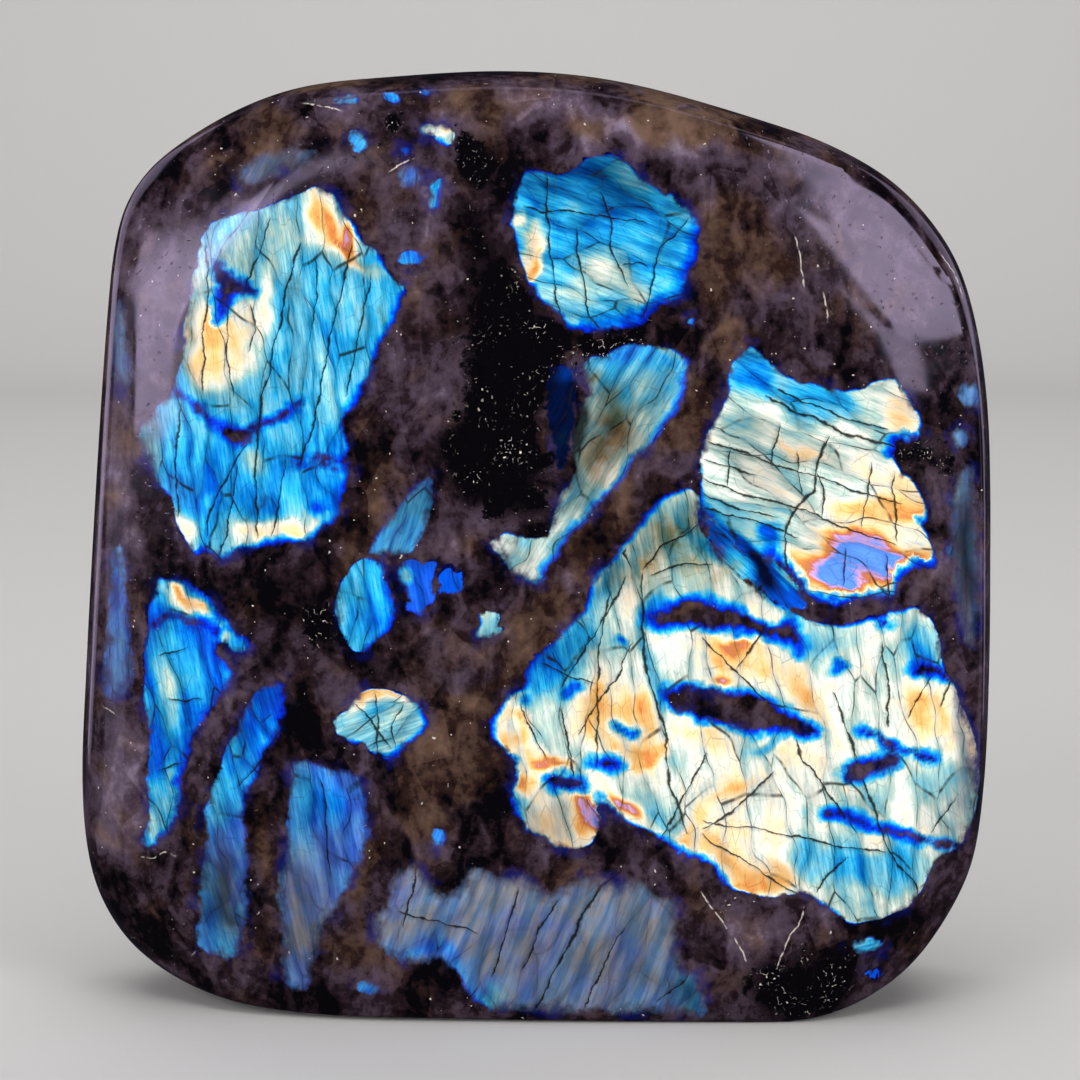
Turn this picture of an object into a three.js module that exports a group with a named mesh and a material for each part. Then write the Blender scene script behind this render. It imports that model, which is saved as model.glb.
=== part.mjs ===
// A polished labradorite freeform: one natural stone, ground to a soft-edged slab on a wheel and sawn
// flat underneath, so that it stands by itself. Millimetres, +Z up, the show face towards -Y, and the
// origin on the surface it stands on, under the middle of its bounding box.
import * as THREE from "three";

// Driving dimensions
const BASE_DEPTH = 48; // front to back at the foot, before the corners were ground off
const MIDDLE_HEIGHT = 60; // of the point that the outline is drawn round
const FRONT_LEAN = 0.03; // the show face leans back by this much for each mm of height
const BACK_LEAN = 0.1; // the back comes forward by this much, so the top is thinner than the base
const FRONT_TURN = 0.025; // the left side of the show face falls back by this much for each mm
const DOME_RADIUS = 760; // of the slight swell that polishing leaves on the show face
const BACK_DOME_RADIUS = 420;
const FRONT_RIM_INSET = 2.2; // the front rim lies this far inside the widest outline
const BACK_RIM_INSET = 4.2;
const FRONT_BLEND = 0.55; // how softly one ground facet runs into the next
const BACK_BLEND = 1.4;

// Steps of the surface net: across each face, and from the front rim to the back rim
const FACE_STEPS = 32;
const DEPTH_STEPS = 8;
const OUTLINE_SAMPLES = 1440;
const INNER_NET = 2 / 3; // this share of the rings of a face
const INNER_REACH = 0.75; // covers this share of the way to its rim, so the bevels get finer ones

// The widest outline, seen from the front: x, z. Its underside dips below 0, where the saw cut it off.
const OUTLINE = [
  [-9, -1.7],
  [22, -1.9],
  [35.5, -1.6],
  [43.5, 0.6],
  [49.2, 4.6],
  [53.4, 10.4],
  [56.9, 18.4],
  [58.4, 28.6],
  [58.9, 44.6],
  [58.8, 58],
  [58.6, 68.4],
  [58, 78.8],
  [56.3, 89.2],
  [53.9, 96.7],
  [49.9, 102.7],
  [44.7, 107.6],
  [36.9, 111.9],
  [29.2, 114.6],
  [13.7, 119],
  [5, 120.5],
  [-5, 121],
  [-18, 120.3],
  [-29.9, 119],
  [-37.6, 116.4],
  [-45.4, 112],
  [-49.8, 108.4],
  [-52.8, 104],
  [-54.2, 99],
  [-55.2, 91],
  [-56.8, 73.6],
  [-59, 44.6],
  [-59.9, 28.6],
  [-59.4, 20.5],
  [-57.6, 12.6],
  [-53.8, 6.4],
  [-47.5, 2],
  [-38, -0.6],
];

// Facets ground round the show face. toward is where each faces, in degrees from +X towards +Z. It
// begins start mm from the middle and falls back by slope for each mm beyond that.
const FRONT_FACETS = [
  { name: "left shoulder", toward: 178, start: 45.5, slope: 0.3 },
  { name: "left bevel", toward: 178, start: 51.5, slope: 1.0 },
  { name: "upper left shoulder", toward: 139, start: 54, slope: 0.4 },
  { name: "upper left bevel", toward: 138, start: 62.5, slope: 1.0 },
  { name: "top shoulder", toward: 92, start: 50, slope: 0.22 },
  { name: "top bevel", toward: 90, start: 56, slope: 0.9 },
  { name: "upper right facet", toward: 43, start: 50, slope: 0.36 },
  { name: "upper right bevel", toward: 40, start: 63.5, slope: 1.1 },
  { name: "right shoulder", toward: 0, start: 46, slope: 0.3 },
  { name: "right bevel", toward: 0, start: 53, slope: 0.9 },
  { name: "lower right bevel", toward: -40, start: 64, slope: 0.7 },
  { name: "bottom bevel", toward: -90, start: 58.5, slope: 0.9 },
  { name: "lower left shoulder", toward: 222, start: 55, slope: 0.25 },
  { name: "lower left bevel", toward: 222, start: 65, slope: 0.9 },
];

// The same for the back, which was ground with fewer and broader cuts.
const BACK_FACETS = [
  { name: "back left slope", toward: 184, start: 33, slope: 0.3 },
  { name: "back left bevel", toward: 176, start: 49, slope: 0.9 },
  { name: "back upper left slope", toward: 128, start: 42, slope: 0.34 },
  { name: "back upper left bevel", toward: 138, start: 58, slope: 0.9 },
  { name: "back top bevel", toward: 88, start: 51, slope: 0.8 },
  { name: "back upper right slope", toward: 38, start: 47, slope: 0.5 },
  { name: "back right slope", toward: -8, start: 40, slope: 0.36 },
  { name: "back right bevel", toward: 2, start: 51, slope: 1.0 },
  { name: "back lower right bevel", toward: -42, start: 58, slope: 0.6 },
  { name: "back bottom bevel", toward: -90, start: 55, slope: 0.9 },
  { name: "back lower left bevel", toward: 222, start: 56, slope: 0.6 },
];

const outlineCurve = new THREE.CatmullRomCurve3(
  OUTLINE.map(([x, z]) => new THREE.Vector3(x, 0, z)),
  true,
  "centripetal",
);

// The outline as angle and radius round the middle, in order of angle.
const polarOutline = outlineCurve
  .getPoints(OUTLINE_SAMPLES)
  .slice(0, OUTLINE_SAMPLES)
  .map((p) => ({
    angle: Math.atan2(p.z - MIDDLE_HEIGHT, p.x),
    radius: Math.hypot(p.x, p.z - MIDDLE_HEIGHT),
  }))
  .sort((a, b) => a.angle - b.angle);

function outlineRadius(angle) {
  const turn = 2 * Math.PI;
  let after = polarOutline.findIndex((p) => p.angle >= angle);
  if (after < 0) after = 0;
  const before = (after + polarOutline.length - 1) % polarOutline.length;
  const a = polarOutline[before];
  const b = polarOutline[after];
  const gap = (b.angle - a.angle + turn) % turn || turn;
  const share = ((angle - a.angle + turn) % turn) / gap;
  return THREE.MathUtils.lerp(a.radius, b.radius, share);
}

// The greatest of the depths, with the corners between them rounded over about blend mm.
function softMax(depths, blend) {
  const top = Math.max(...depths);
  const sum = depths.reduce((total, d) => total + Math.exp((d - top) / blend), 0);
  return top + blend * Math.log(sum);
}

// How far a point of the face has been ground back by its facets, beyond its swell.
function groundDepth(x, z, facets, domeRadius, blend) {
  const up = z - MIDDLE_HEIGHT;
  const cuts = facets.map(({ toward, start, slope }) => {
    const angle = THREE.MathUtils.degToRad(toward);
    return slope * (x * Math.cos(angle) + up * Math.sin(angle) - start);
  });
  return softMax([0, ...cuts], blend) + (x * x + up * up) / (2 * domeRadius);
}

function frontDepth(x, z) {
  const ground = groundDepth(x, z, FRONT_FACETS, DOME_RADIUS, FRONT_BLEND);
  return -BASE_DEPTH / 2 + FRONT_LEAN * z - FRONT_TURN * x + ground;
}

function backDepth(x, z) {
  const ground = groundDepth(x, z, BACK_FACETS, BACK_DOME_RADIUS, BACK_BLEND);
  return BASE_DEPTH / 2 - BACK_LEAN * z - ground;
}

// A point of the net at an angle round the middle, inset mm inside the outline and reach of the way out.
function netPoint(angle, inset, reach) {
  const radius = (outlineRadius(angle) - inset) * reach;
  return {
    x: radius * Math.cos(angle),
    z: MIDDLE_HEIGHT + radius * Math.sin(angle),
  };
}

function ringReach(ring) {
  if (ring <= INNER_NET) return (ring / INNER_NET) * INNER_REACH;
  const share = (ring - INNER_NET) / (1 - INNER_NET);
  return INNER_REACH + share * (1 - INNER_REACH);
}

// The side swells between the two rims, and touches the widest outline halfway.
function sideInset(share) {
  const swell = (FRONT_RIM_INSET + BACK_RIM_INSET) / 2;
  const straight = THREE.MathUtils.lerp(FRONT_RIM_INSET, BACK_RIM_INSET, share);
  return straight - swell * 4 * share * (1 - share);
}

// Where a point of a cube from -1 to 1 goes on the stone.
function stonePoint(cube) {
  const ring = Math.max(Math.abs(cube.x), Math.abs(cube.z));
  const angle = Math.atan2(cube.z, cube.x);
  if (ring < 1) {
    const inFront = cube.y < 0;
    const inset = inFront ? FRONT_RIM_INSET : BACK_RIM_INSET;
    const { x, z } = netPoint(angle, inset, ringReach(ring));
    return new THREE.Vector3(x, (inFront ? frontDepth : backDepth)(x, z), z);
  }
  const share = (cube.y + 1) / 2;
  const frontRim = netPoint(angle, FRONT_RIM_INSET, 1);
  const backRim = netPoint(angle, BACK_RIM_INSET, 1);
  const y = THREE.MathUtils.lerp(
    frontDepth(frontRim.x, frontRim.z),
    backDepth(backRim.x, backRim.z),
    share,
  );
  const { x, z } = netPoint(angle, sideInset(share), 1);
  return new THREE.Vector3(x, y, z);
}

function stoneGeometry() {
  const geometry = new THREE.BoxGeometry(2, 2, 2, FACE_STEPS, DEPTH_STEPS, FACE_STEPS);
  const places = geometry.attributes.position;
  const point = new THREE.Vector3();
  for (let i = 0; i < places.count; i += 1) {
    const { x, y, z } = stonePoint(point.fromBufferAttribute(places, i));
    // The saw cut everything below the surface that the stone stands on.
    places.setXYZ(i, x, y, Math.max(z, 0));
  }
  geometry.computeBoundingBox();
  const middle = geometry.boundingBox.getCenter(new THREE.Vector3());
  geometry.translate(-middle.x, -middle.y, 0);
  geometry.computeVertexNormals();
  return geometry;
}

const polishedLabradorite = new THREE.MeshStandardMaterial({
  color: 0x3b3440,
  roughness: 0.12,
  metalness: 0.0,
});

const stone = new THREE.Mesh(stoneGeometry(), polishedLabradorite);
stone.name = "labradorite_stone";

const freeform = new THREE.Group();
freeform.add(stone);

export default freeform;
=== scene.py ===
import math
from collections import namedtuple

import bmesh
import bpy
import numpy as np
from bpy.props import FloatProperty, FloatVectorProperty, IntProperty, PointerProperty
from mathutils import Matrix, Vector


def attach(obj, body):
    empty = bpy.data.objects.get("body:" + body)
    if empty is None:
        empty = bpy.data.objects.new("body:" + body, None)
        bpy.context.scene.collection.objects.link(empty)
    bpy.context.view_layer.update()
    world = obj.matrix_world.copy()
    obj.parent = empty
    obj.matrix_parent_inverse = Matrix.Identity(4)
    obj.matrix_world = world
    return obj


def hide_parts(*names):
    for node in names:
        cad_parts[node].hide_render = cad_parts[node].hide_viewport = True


bl_info = {
    "name": "Labradorite freeform",
    "version": (1, 0, 0),
    "blender": (4, 5, 0),
    "location": "3D View > Sidebar > Labradorite",
    "description": "Finishes a polished labradorite stone and lights it on a pale floor",
    "category": "Object",
}

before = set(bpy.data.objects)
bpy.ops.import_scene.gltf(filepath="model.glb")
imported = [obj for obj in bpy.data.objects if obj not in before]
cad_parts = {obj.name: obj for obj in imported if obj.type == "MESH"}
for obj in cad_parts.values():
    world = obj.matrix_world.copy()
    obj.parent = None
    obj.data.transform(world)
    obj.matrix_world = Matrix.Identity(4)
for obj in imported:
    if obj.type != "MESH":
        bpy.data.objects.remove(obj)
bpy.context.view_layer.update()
STONE = "labradorite_stone"
MM = 0.001

# The drawing of the show face is in the photograph's frame, 1080 units wide with y down. The camera
# that it was drawn through is the scene's own camera at its default place.
VIEW_SIZE = 1080
LENS_MM = 100.0
SENSOR_MM = 36.0
VIEW_DISTANCE = 0.396
VIEW_ELEVATION = math.radians(7)
VIEW_TARGET = (0.0009, 0.0, 0.06)
UNITS_PER_MM = 7.6

# Places on the scale of flash colours, from the thinnest layers in the stone to the thickest
NAVY = 0.0
DEEP_BLUE = 0.1
AZURE = 0.22
CYAN = 0.34
AQUA = 0.46
PALE_GREEN = 0.53
WHITE = 0.6
CREAM = 0.67
GOLD = 0.75
ORANGE = 0.82
RUSSET = 0.88
ROSE = 0.93
LILAC = 1.0

# A patch that flashes: its colour, how hazy it is, how wide its blue rim is in mm and which way that
# rim is widest, the lie of its layers, and its outline. Both ways are in degrees, counter-clockwise from
# the right.
Patch = namedtuple("Patch", "name order haze rim rim_towards grain outline")

SHOW_FACE_PATCHES = (
    Patch("left", 0.38, 0.0, 1.0, -50, 98, (
        (208, 222), (235, 215), (262, 208), (290, 198), (303, 193), (315, 184), (330, 191), (340, 204),
        (352, 222), (360, 243), (378, 250), (382, 262), (395, 280), (406, 287), (399, 315), (388, 335),
        (378, 350), (375, 370), (362, 395), (352, 408), (342, 422), (345, 438), (352, 450), (349, 475),
        (343, 500), (338, 517), (322, 533), (308, 545), (285, 542), (262, 546), (240, 552), (222, 560),
        (208, 548), (196, 556), (189, 548), (178, 530), (174, 508), (166, 492), (152, 480), (140, 455),
        (137, 430), (150, 412), (170, 395), (178, 370), (183, 335), (188, 300), (192, 270), (200, 240))),
    Patch("upper middle", 0.34, 0.0, 2.0, -50, -20, (
        (514, 182), (525, 169), (547, 174), (559, 177), (584, 160), (598, 151), (629, 160), (652, 187),
        (684, 200), (700, 220), (699, 245), (697, 260), (688, 280), (684, 294), (661, 309), (636, 328),
        (600, 332), (577, 332), (568, 330), (557, 316), (545, 305), (538, 294), (527, 287), (520, 260),
        (516, 239), (508, 223), (512, 218))),
    Patch("middle", 0.48, 0.14, 1.2, -30, 60, (
        (589, 393), (577, 405), (577, 421), (573, 434), (573, 455), (572, 482), (559, 493), (555, 507),
        (552, 516), (550, 536), (530, 536), (507, 534), (489, 539), (487, 545), (500, 557), (507, 568),
        (512, 577), (525, 581), (541, 588), (550, 566), (561, 550), (573, 536), (584, 523), (598, 507),
        (616, 491), (625, 480), (632, 464), (641, 453), (654, 443), (666, 428), (677, 410), (687, 389),
        (684, 377), (691, 364), (682, 355), (659, 346), (636, 341), (620, 348), (607, 357), (591, 355),
        (580, 366), (586, 380))),
    Patch("right upper", 0.545, 0.0, 1.9, -80, -22, (
        (725, 378), (732, 362), (741, 348), (757, 347), (768, 357), (779, 373), (798, 380), (813, 384),
        (827, 389), (847, 390), (863, 389), (868, 382), (886, 377), (904, 384), (909, 398), (918, 416),
        (923, 434), (922, 441), (897, 441), (895, 453), (891, 459), (904, 471), (915, 482), (925, 500),
        (929, 516), (922, 525), (929, 534), (936, 552), (936, 570), (915, 568), (900, 579), (893, 595),
        (870, 598), (836, 604), (813, 604), (802, 591), (791, 575), (779, 561), (763, 559), (745, 557),
        (727, 548), (716, 528), (702, 509), (696, 489), (700, 480), (698, 455), (706, 435), (716, 416),
        (725, 405), (728, 392))),
    Patch("right", 0.58, 0.0, 0.8, 170, 100, (
        (696, 489), (672, 491), (659, 498), (648, 511), (636, 527), (625, 541), (611, 557), (598, 570),
        (589, 584), (589, 598), (577, 616), (568, 625), (555, 634), (543, 650), (530, 661), (523, 675),
        (525, 691), (516, 693), (502, 697), (493, 713), (489, 729), (489, 738), (502, 750), (514, 757),
        (511, 766), (516, 777), (511, 786), (511, 797), (514, 813), (521, 825), (534, 834), (548, 845),
        (566, 849), (582, 850), (593, 841), (603, 825), (601, 813), (595, 798), (611, 807), (620, 820),
        (634, 827), (648, 834), (661, 841), (679, 854), (697, 861), (709, 866), (714, 868), (725, 886),
        (736, 893), (757, 897), (779, 897), (797, 895), (813, 898), (827, 906), (834, 918), (845, 923),
        (881, 921), (893, 913), (909, 909), (920, 895), (927, 881), (935, 862), (961, 845), (972, 827),
        (979, 802), (980, 750), (960, 700), (956, 684), (940, 661), (940, 625), (913, 605), (893, 613),
        (870, 618), (845, 624), (820, 625), (798, 614), (786, 609), (770, 595), (752, 584), (736, 575),
        (723, 561), (714, 548), (700, 530), (699, 511))),
    Patch("left lower", AZURE, 0.0, 1.3, 0, 100, (
        (155, 577), (169, 577), (187, 580), (196, 591), (216, 598), (221, 611), (232, 627), (248, 636),
        (252, 645), (244, 654), (232, 650), (219, 643), (219, 654), (232, 668), (237, 675), (228, 686),
        (219, 697), (210, 709), (205, 712), (198, 730), (194, 750), (185, 759), (185, 773), (179, 784),
        (182, 795), (178, 813), (171, 827), (160, 845), (151, 850), (139, 845), (146, 827), (151, 809),
        (146, 791), (144, 768), (150, 745), (146, 723), (144, 700), (143, 660), (148, 630), (150, 600))),
    Patch("left edge", AZURE, 0.4, 0.3, 0, 95, (
        (118, 540), (108, 560), (108, 600), (105, 640), (100, 670), (102, 700), (125, 700), (135, 670),
        (132, 640), (128, 600), (130, 570), (122, 545))),
    Patch("lower left blade", 0.24, 0.0, 1.2, 20, 105, (
        (283, 677), (287, 693), (283, 714), (281, 732), (271, 745), (260, 766), (253, 784), (246, 800),
        (244, 818), (248, 841), (248, 904), (246, 936), (241, 958), (228, 961), (201, 952), (196, 938),
        (196, 904), (201, 877), (205, 845), (203, 820), (207, 802), (216, 777), (223, 754), (232, 734),
        (241, 714), (257, 688), (269, 682))),
    Patch("lower blade", AZURE, 0.4, 0.7, 10, 100, (
        (289, 766), (297, 758), (318, 766), (338, 770), (358, 772), (364, 788), (366, 806), (372, 822),
        (368, 841), (362, 859), (352, 877), (343, 900), (332, 918), (323, 940), (314, 958), (316, 979),
        (305, 990), (287, 988), (280, 977), (282, 954), (278, 927), (275, 900), (280, 872), (284, 845),
        (287, 818), (291, 791))),
    Patch("small gem", 0.48, 0.0, 0.9, -30, 20, (
        (328, 720), (343, 713), (352, 700), (364, 691), (380, 687), (394, 691), (414, 700), (425, 716),
        (430, 723), (423, 734), (409, 745), (394, 759), (378, 757), (362, 743), (341, 741))),
    Patch("left crystal", 0.34, 0.0, 0.8, 0, 100, (
        (362, 557), (348, 568), (337, 589), (334, 614), (339, 632), (348, 645), (364, 657), (371, 645),
        (382, 638), (391, 629), (394, 607), (391, 584), (380, 560))),
    Patch("middle crystal", DEEP_BLUE, 0.05, 0.5, -90, 100, (
        (397, 564), (410, 557), (424, 563), (437, 560), (433, 580), (437, 600), (426, 605), (423, 619),
        (413, 611), (403, 613), (406, 592), (398, 580))),
    Patch("right crystal", DEEP_BLUE, 0.0, 0.4, -90, 100, (
        (440, 573), (450, 567), (456, 573), (464, 570), (460, 582), (465, 593), (454, 598), (447, 593),
        (436, 597), (440, 584))),
    Patch("hazy crystal", 0.26, 0.3, 0.5, 180, 70, (
        (434, 468), (421, 480), (414, 491), (398, 507), (387, 516), (378, 536), (362, 557), (410, 555),
        (428, 530), (433, 500))),
    Patch("pale crystal", AQUA, 0.0, 0.5, 180, 90, (
        (473, 609), (500, 609), (502, 618), (498, 625), (505, 629), (493, 641), (475, 641), (474, 632),
        (480, 623))),
    Patch("eye", 0.03, 0.0, 0.6, 90, 60, (
        (545, 375), (556, 366), (572, 366), (580, 378), (576, 396), (574, 420), (572, 450), (566, 470),
        (556, 470), (548, 440), (546, 405))),
    Patch("upper left haze", AZURE, 0.97, 0.1, 0, 60, (
        (236, 170), (250, 156), (275, 149), (300, 146), (322, 152), (306, 168), (290, 172), (268, 186),
        (245, 190))),
    Patch("left rim haze", AZURE, 0.75, 0.1, 0, 92, (
        (102, 300), (110, 276), (124, 300), (130, 340), (134, 380), (128, 404), (114, 384), (104, 340))),
    Patch("gap", 0.03, 0.0, 0.3, 90, -43, (
        (703, 510), (714, 519), (730, 530), (742, 546), (756, 553), (772, 560), (786, 570), (798, 584),
        (806, 600), (812, 611), (798, 613), (786, 609), (770, 595), (752, 584), (736, 575), (723, 561),
        (714, 548), (704, 532))),
    Patch("right rim haze", AZURE, 0.85, 0.3, 0, 90, (
        (950, 470), (975, 460), (982, 560), (980, 640), (962, 650), (950, 560))),
    Patch("bottom", AZURE, 0.88, 0.6, 200, 70, (
        (387, 909), (389, 881), (400, 872), (414, 863), (425, 872), (432, 888), (455, 893), (462, 877),
        (471, 863), (484, 868), (498, 872), (521, 872), (539, 884), (552, 893), (573, 879), (595, 879),
        (618, 881), (641, 879), (659, 893), (677, 900), (677, 918), (679, 940), (682, 968), (697, 968),
        (706, 990), (709, 1013), (700, 1017), (500, 1014), (475, 1002), (468, 990), (457, 977),
        (450, 967), (434, 963), (420, 964), (402, 961), (384, 957), (374, 948), (373, 922), (377, 904))),
    Patch("bottom spot", AZURE, 0.2, 0.4, -90, 70, ((428, 830), (446, 829), (445, 849), (430, 850))),
    Patch("top glint", CYAN, 0.1, 0.3, 0, 5, ((332, 96), (345, 93), (358, 97), (355, 105), (338, 105))),
    Patch("top left spot", AZURE, 0.2, 0.4, 0, 60, ((346, 132), (360, 128), (371, 142), (360, 155),
                                                    (350, 150))),
    Patch("top spot", AZURE, 0.1, 0.4, 0, 90, ((380, 92), (392, 90), (403, 95), (398, 103), (384, 102))),
    Patch("top right spot", AZURE, 0.1, 0.4, 0, 90, ((416, 92), (427, 90), (434, 95), (426, 99))),
    Patch("top pair", PALE_GREEN, 0.0, 0.7, 180, 60, (
        (414, 128), (424, 121), (436, 124), (444, 122), (453, 128), (455, 140), (449, 151), (440, 146),
        (436, 136), (426, 138), (418, 134))),
    Patch("top drop", DEEP_BLUE, 0.0, 0.4, 0, 90, ((397, 149), (404, 146), (412, 150), (406, 157))),
    Patch("top haze", AZURE, 0.45, 0.5, 0, 80, (
        (396, 176), (404, 165), (415, 162), (423, 170), (420, 183), (408, 189), (397, 186))),
    Patch("top blade", CYAN, 0.0, 0.8, 0, 80, (
        (426, 188), (433, 180), (441, 178), (445, 190), (442, 205), (433, 212), (427, 204))),
    Patch("wedge", AZURE, 0.1, 0.5, 0, 100, ((396, 256), (410, 248), (428, 251), (432, 259), (414, 266),
                                             (402, 264))),
    Patch("drop one", AZURE, 0.1, 0.4, 0, 60, ((686, 320), (693, 318), (697, 323), (690, 328))),
    Patch("drop two", DEEP_BLUE, 0.1, 0.3, 0, 60, ((688, 256), (694, 256), (693, 262), (689, 261))),
    Patch("foot spot", AZURE, 0.25, 0.4, 0, 60, ((352, 984), (368, 981), (384, 988), (376, 995),
                                                 (358, 993))),
    Patch("lower right spot", CYAN, 0.15, 0.4, 0, 10, ((848, 940), (864, 936), (887, 942), (880, 950),
                                                       (862, 954), (850, 949))),
    Patch("lower right drop", DEEP_BLUE, 0.0, 0.3, 0, 10, ((864, 972), (874, 968), (886, 972),
                                                           (880, 979), (866, 978))),
    Patch("right rim top", AZURE, 0.6, 0.4, 0, 90, ((958, 385), (975, 380), (985, 396), (980, 412),
                                                    (962, 408))),
    Patch("right rim middle", AZURE, 0.6, 0.4, 0, 90, ((950, 428), (968, 425), (970, 446), (955, 450))),
    Patch("right rim low", AZURE, 0.3, 0.4, 0, 90, ((944, 546), (954, 545), (956, 557), (947, 560))),
)

# Dark islands inside the patches, with the blue rims that colour has round them.
ISLANDS = (
    ((645, 611), (663, 609), (677, 600), (697, 598), (714, 600), (734, 609), (754, 618), (768, 625),
     (793, 620), (806, 641), (797, 659), (790, 643), (768, 636), (740, 633), (714, 629), (697, 627),
     (679, 629), (661, 634), (652, 627)),
    ((662, 688), (682, 684), (702, 688), (745, 690), (763, 695), (777, 704), (790, 714), (818, 725),
     (818, 732), (802, 738), (779, 732), (745, 734), (720, 729), (698, 718), (682, 713), (666, 709)),
    ((541, 781), (549, 774), (562, 771), (577, 776), (587, 785), (579, 793), (562, 794), (549, 790)),
    ((584, 763), (598, 757), (618, 758), (628, 765), (612, 771), (594, 770)),
    ((840, 772), (852, 760), (868, 762), (884, 755), (900, 752), (904, 764), (890, 774), (872, 777),
     (858, 785), (845, 786)),
    ((595, 797), (604, 799), (615, 806), (610, 812), (600, 806)),
    ((908, 664), (925, 660), (940, 668), (932, 677), (914, 676)),
    ((877, 618), (885, 613), (893, 618), (890, 628), (880, 628)),
    ((208, 258), (221, 262), (236, 271), (253, 285), (259, 296), (243, 299), (233, 297), (229, 306),
     (225, 320), (217, 324), (213, 306), (217, 288), (211, 273)),
    ((312, 505), (320, 500), (330, 505), (324, 511), (314, 510)),
)

# Dark seams, each a line through the middle with its width in drawing units.
SEAMS = (
    (6, ((172, 390), (186, 400), (200, 410), (218, 425), (238, 436), (250, 430), (262, 425), (280, 415),
         (300, 402))),
    (11, ((226, 430), (238, 437), (246, 434))),
    (8, ((825, 814), (841, 814), (854, 820), (877, 827), (900, 834), (927, 841), (949, 845))),
    (6, ((863, 732), (879, 734), (884, 743), (893, 746), (918, 754), (934, 761))),
    (7, ((155, 622), (171, 614), (188, 620), (205, 626), (214, 634))),
    (5, ((938, 668), (948, 678), (957, 685))),
    (4, ((294, 455), (318, 458), (346, 462))),
    (3, ((298, 464), (322, 467), (344, 470))),
    (5, ((662, 842), (690, 857), (712, 870))),
)


def table(kind, rows):
    """One thing of a kind for each row of numbers."""
    return tuple(kind(*row) for row in rows)


# Soft spots of another colour: centre, half length, half width, turn in degrees counter-clockwise from
# level, colour and strength.
Spot = namedtuple("Spot", "x y long wide turn order strength")

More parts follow.
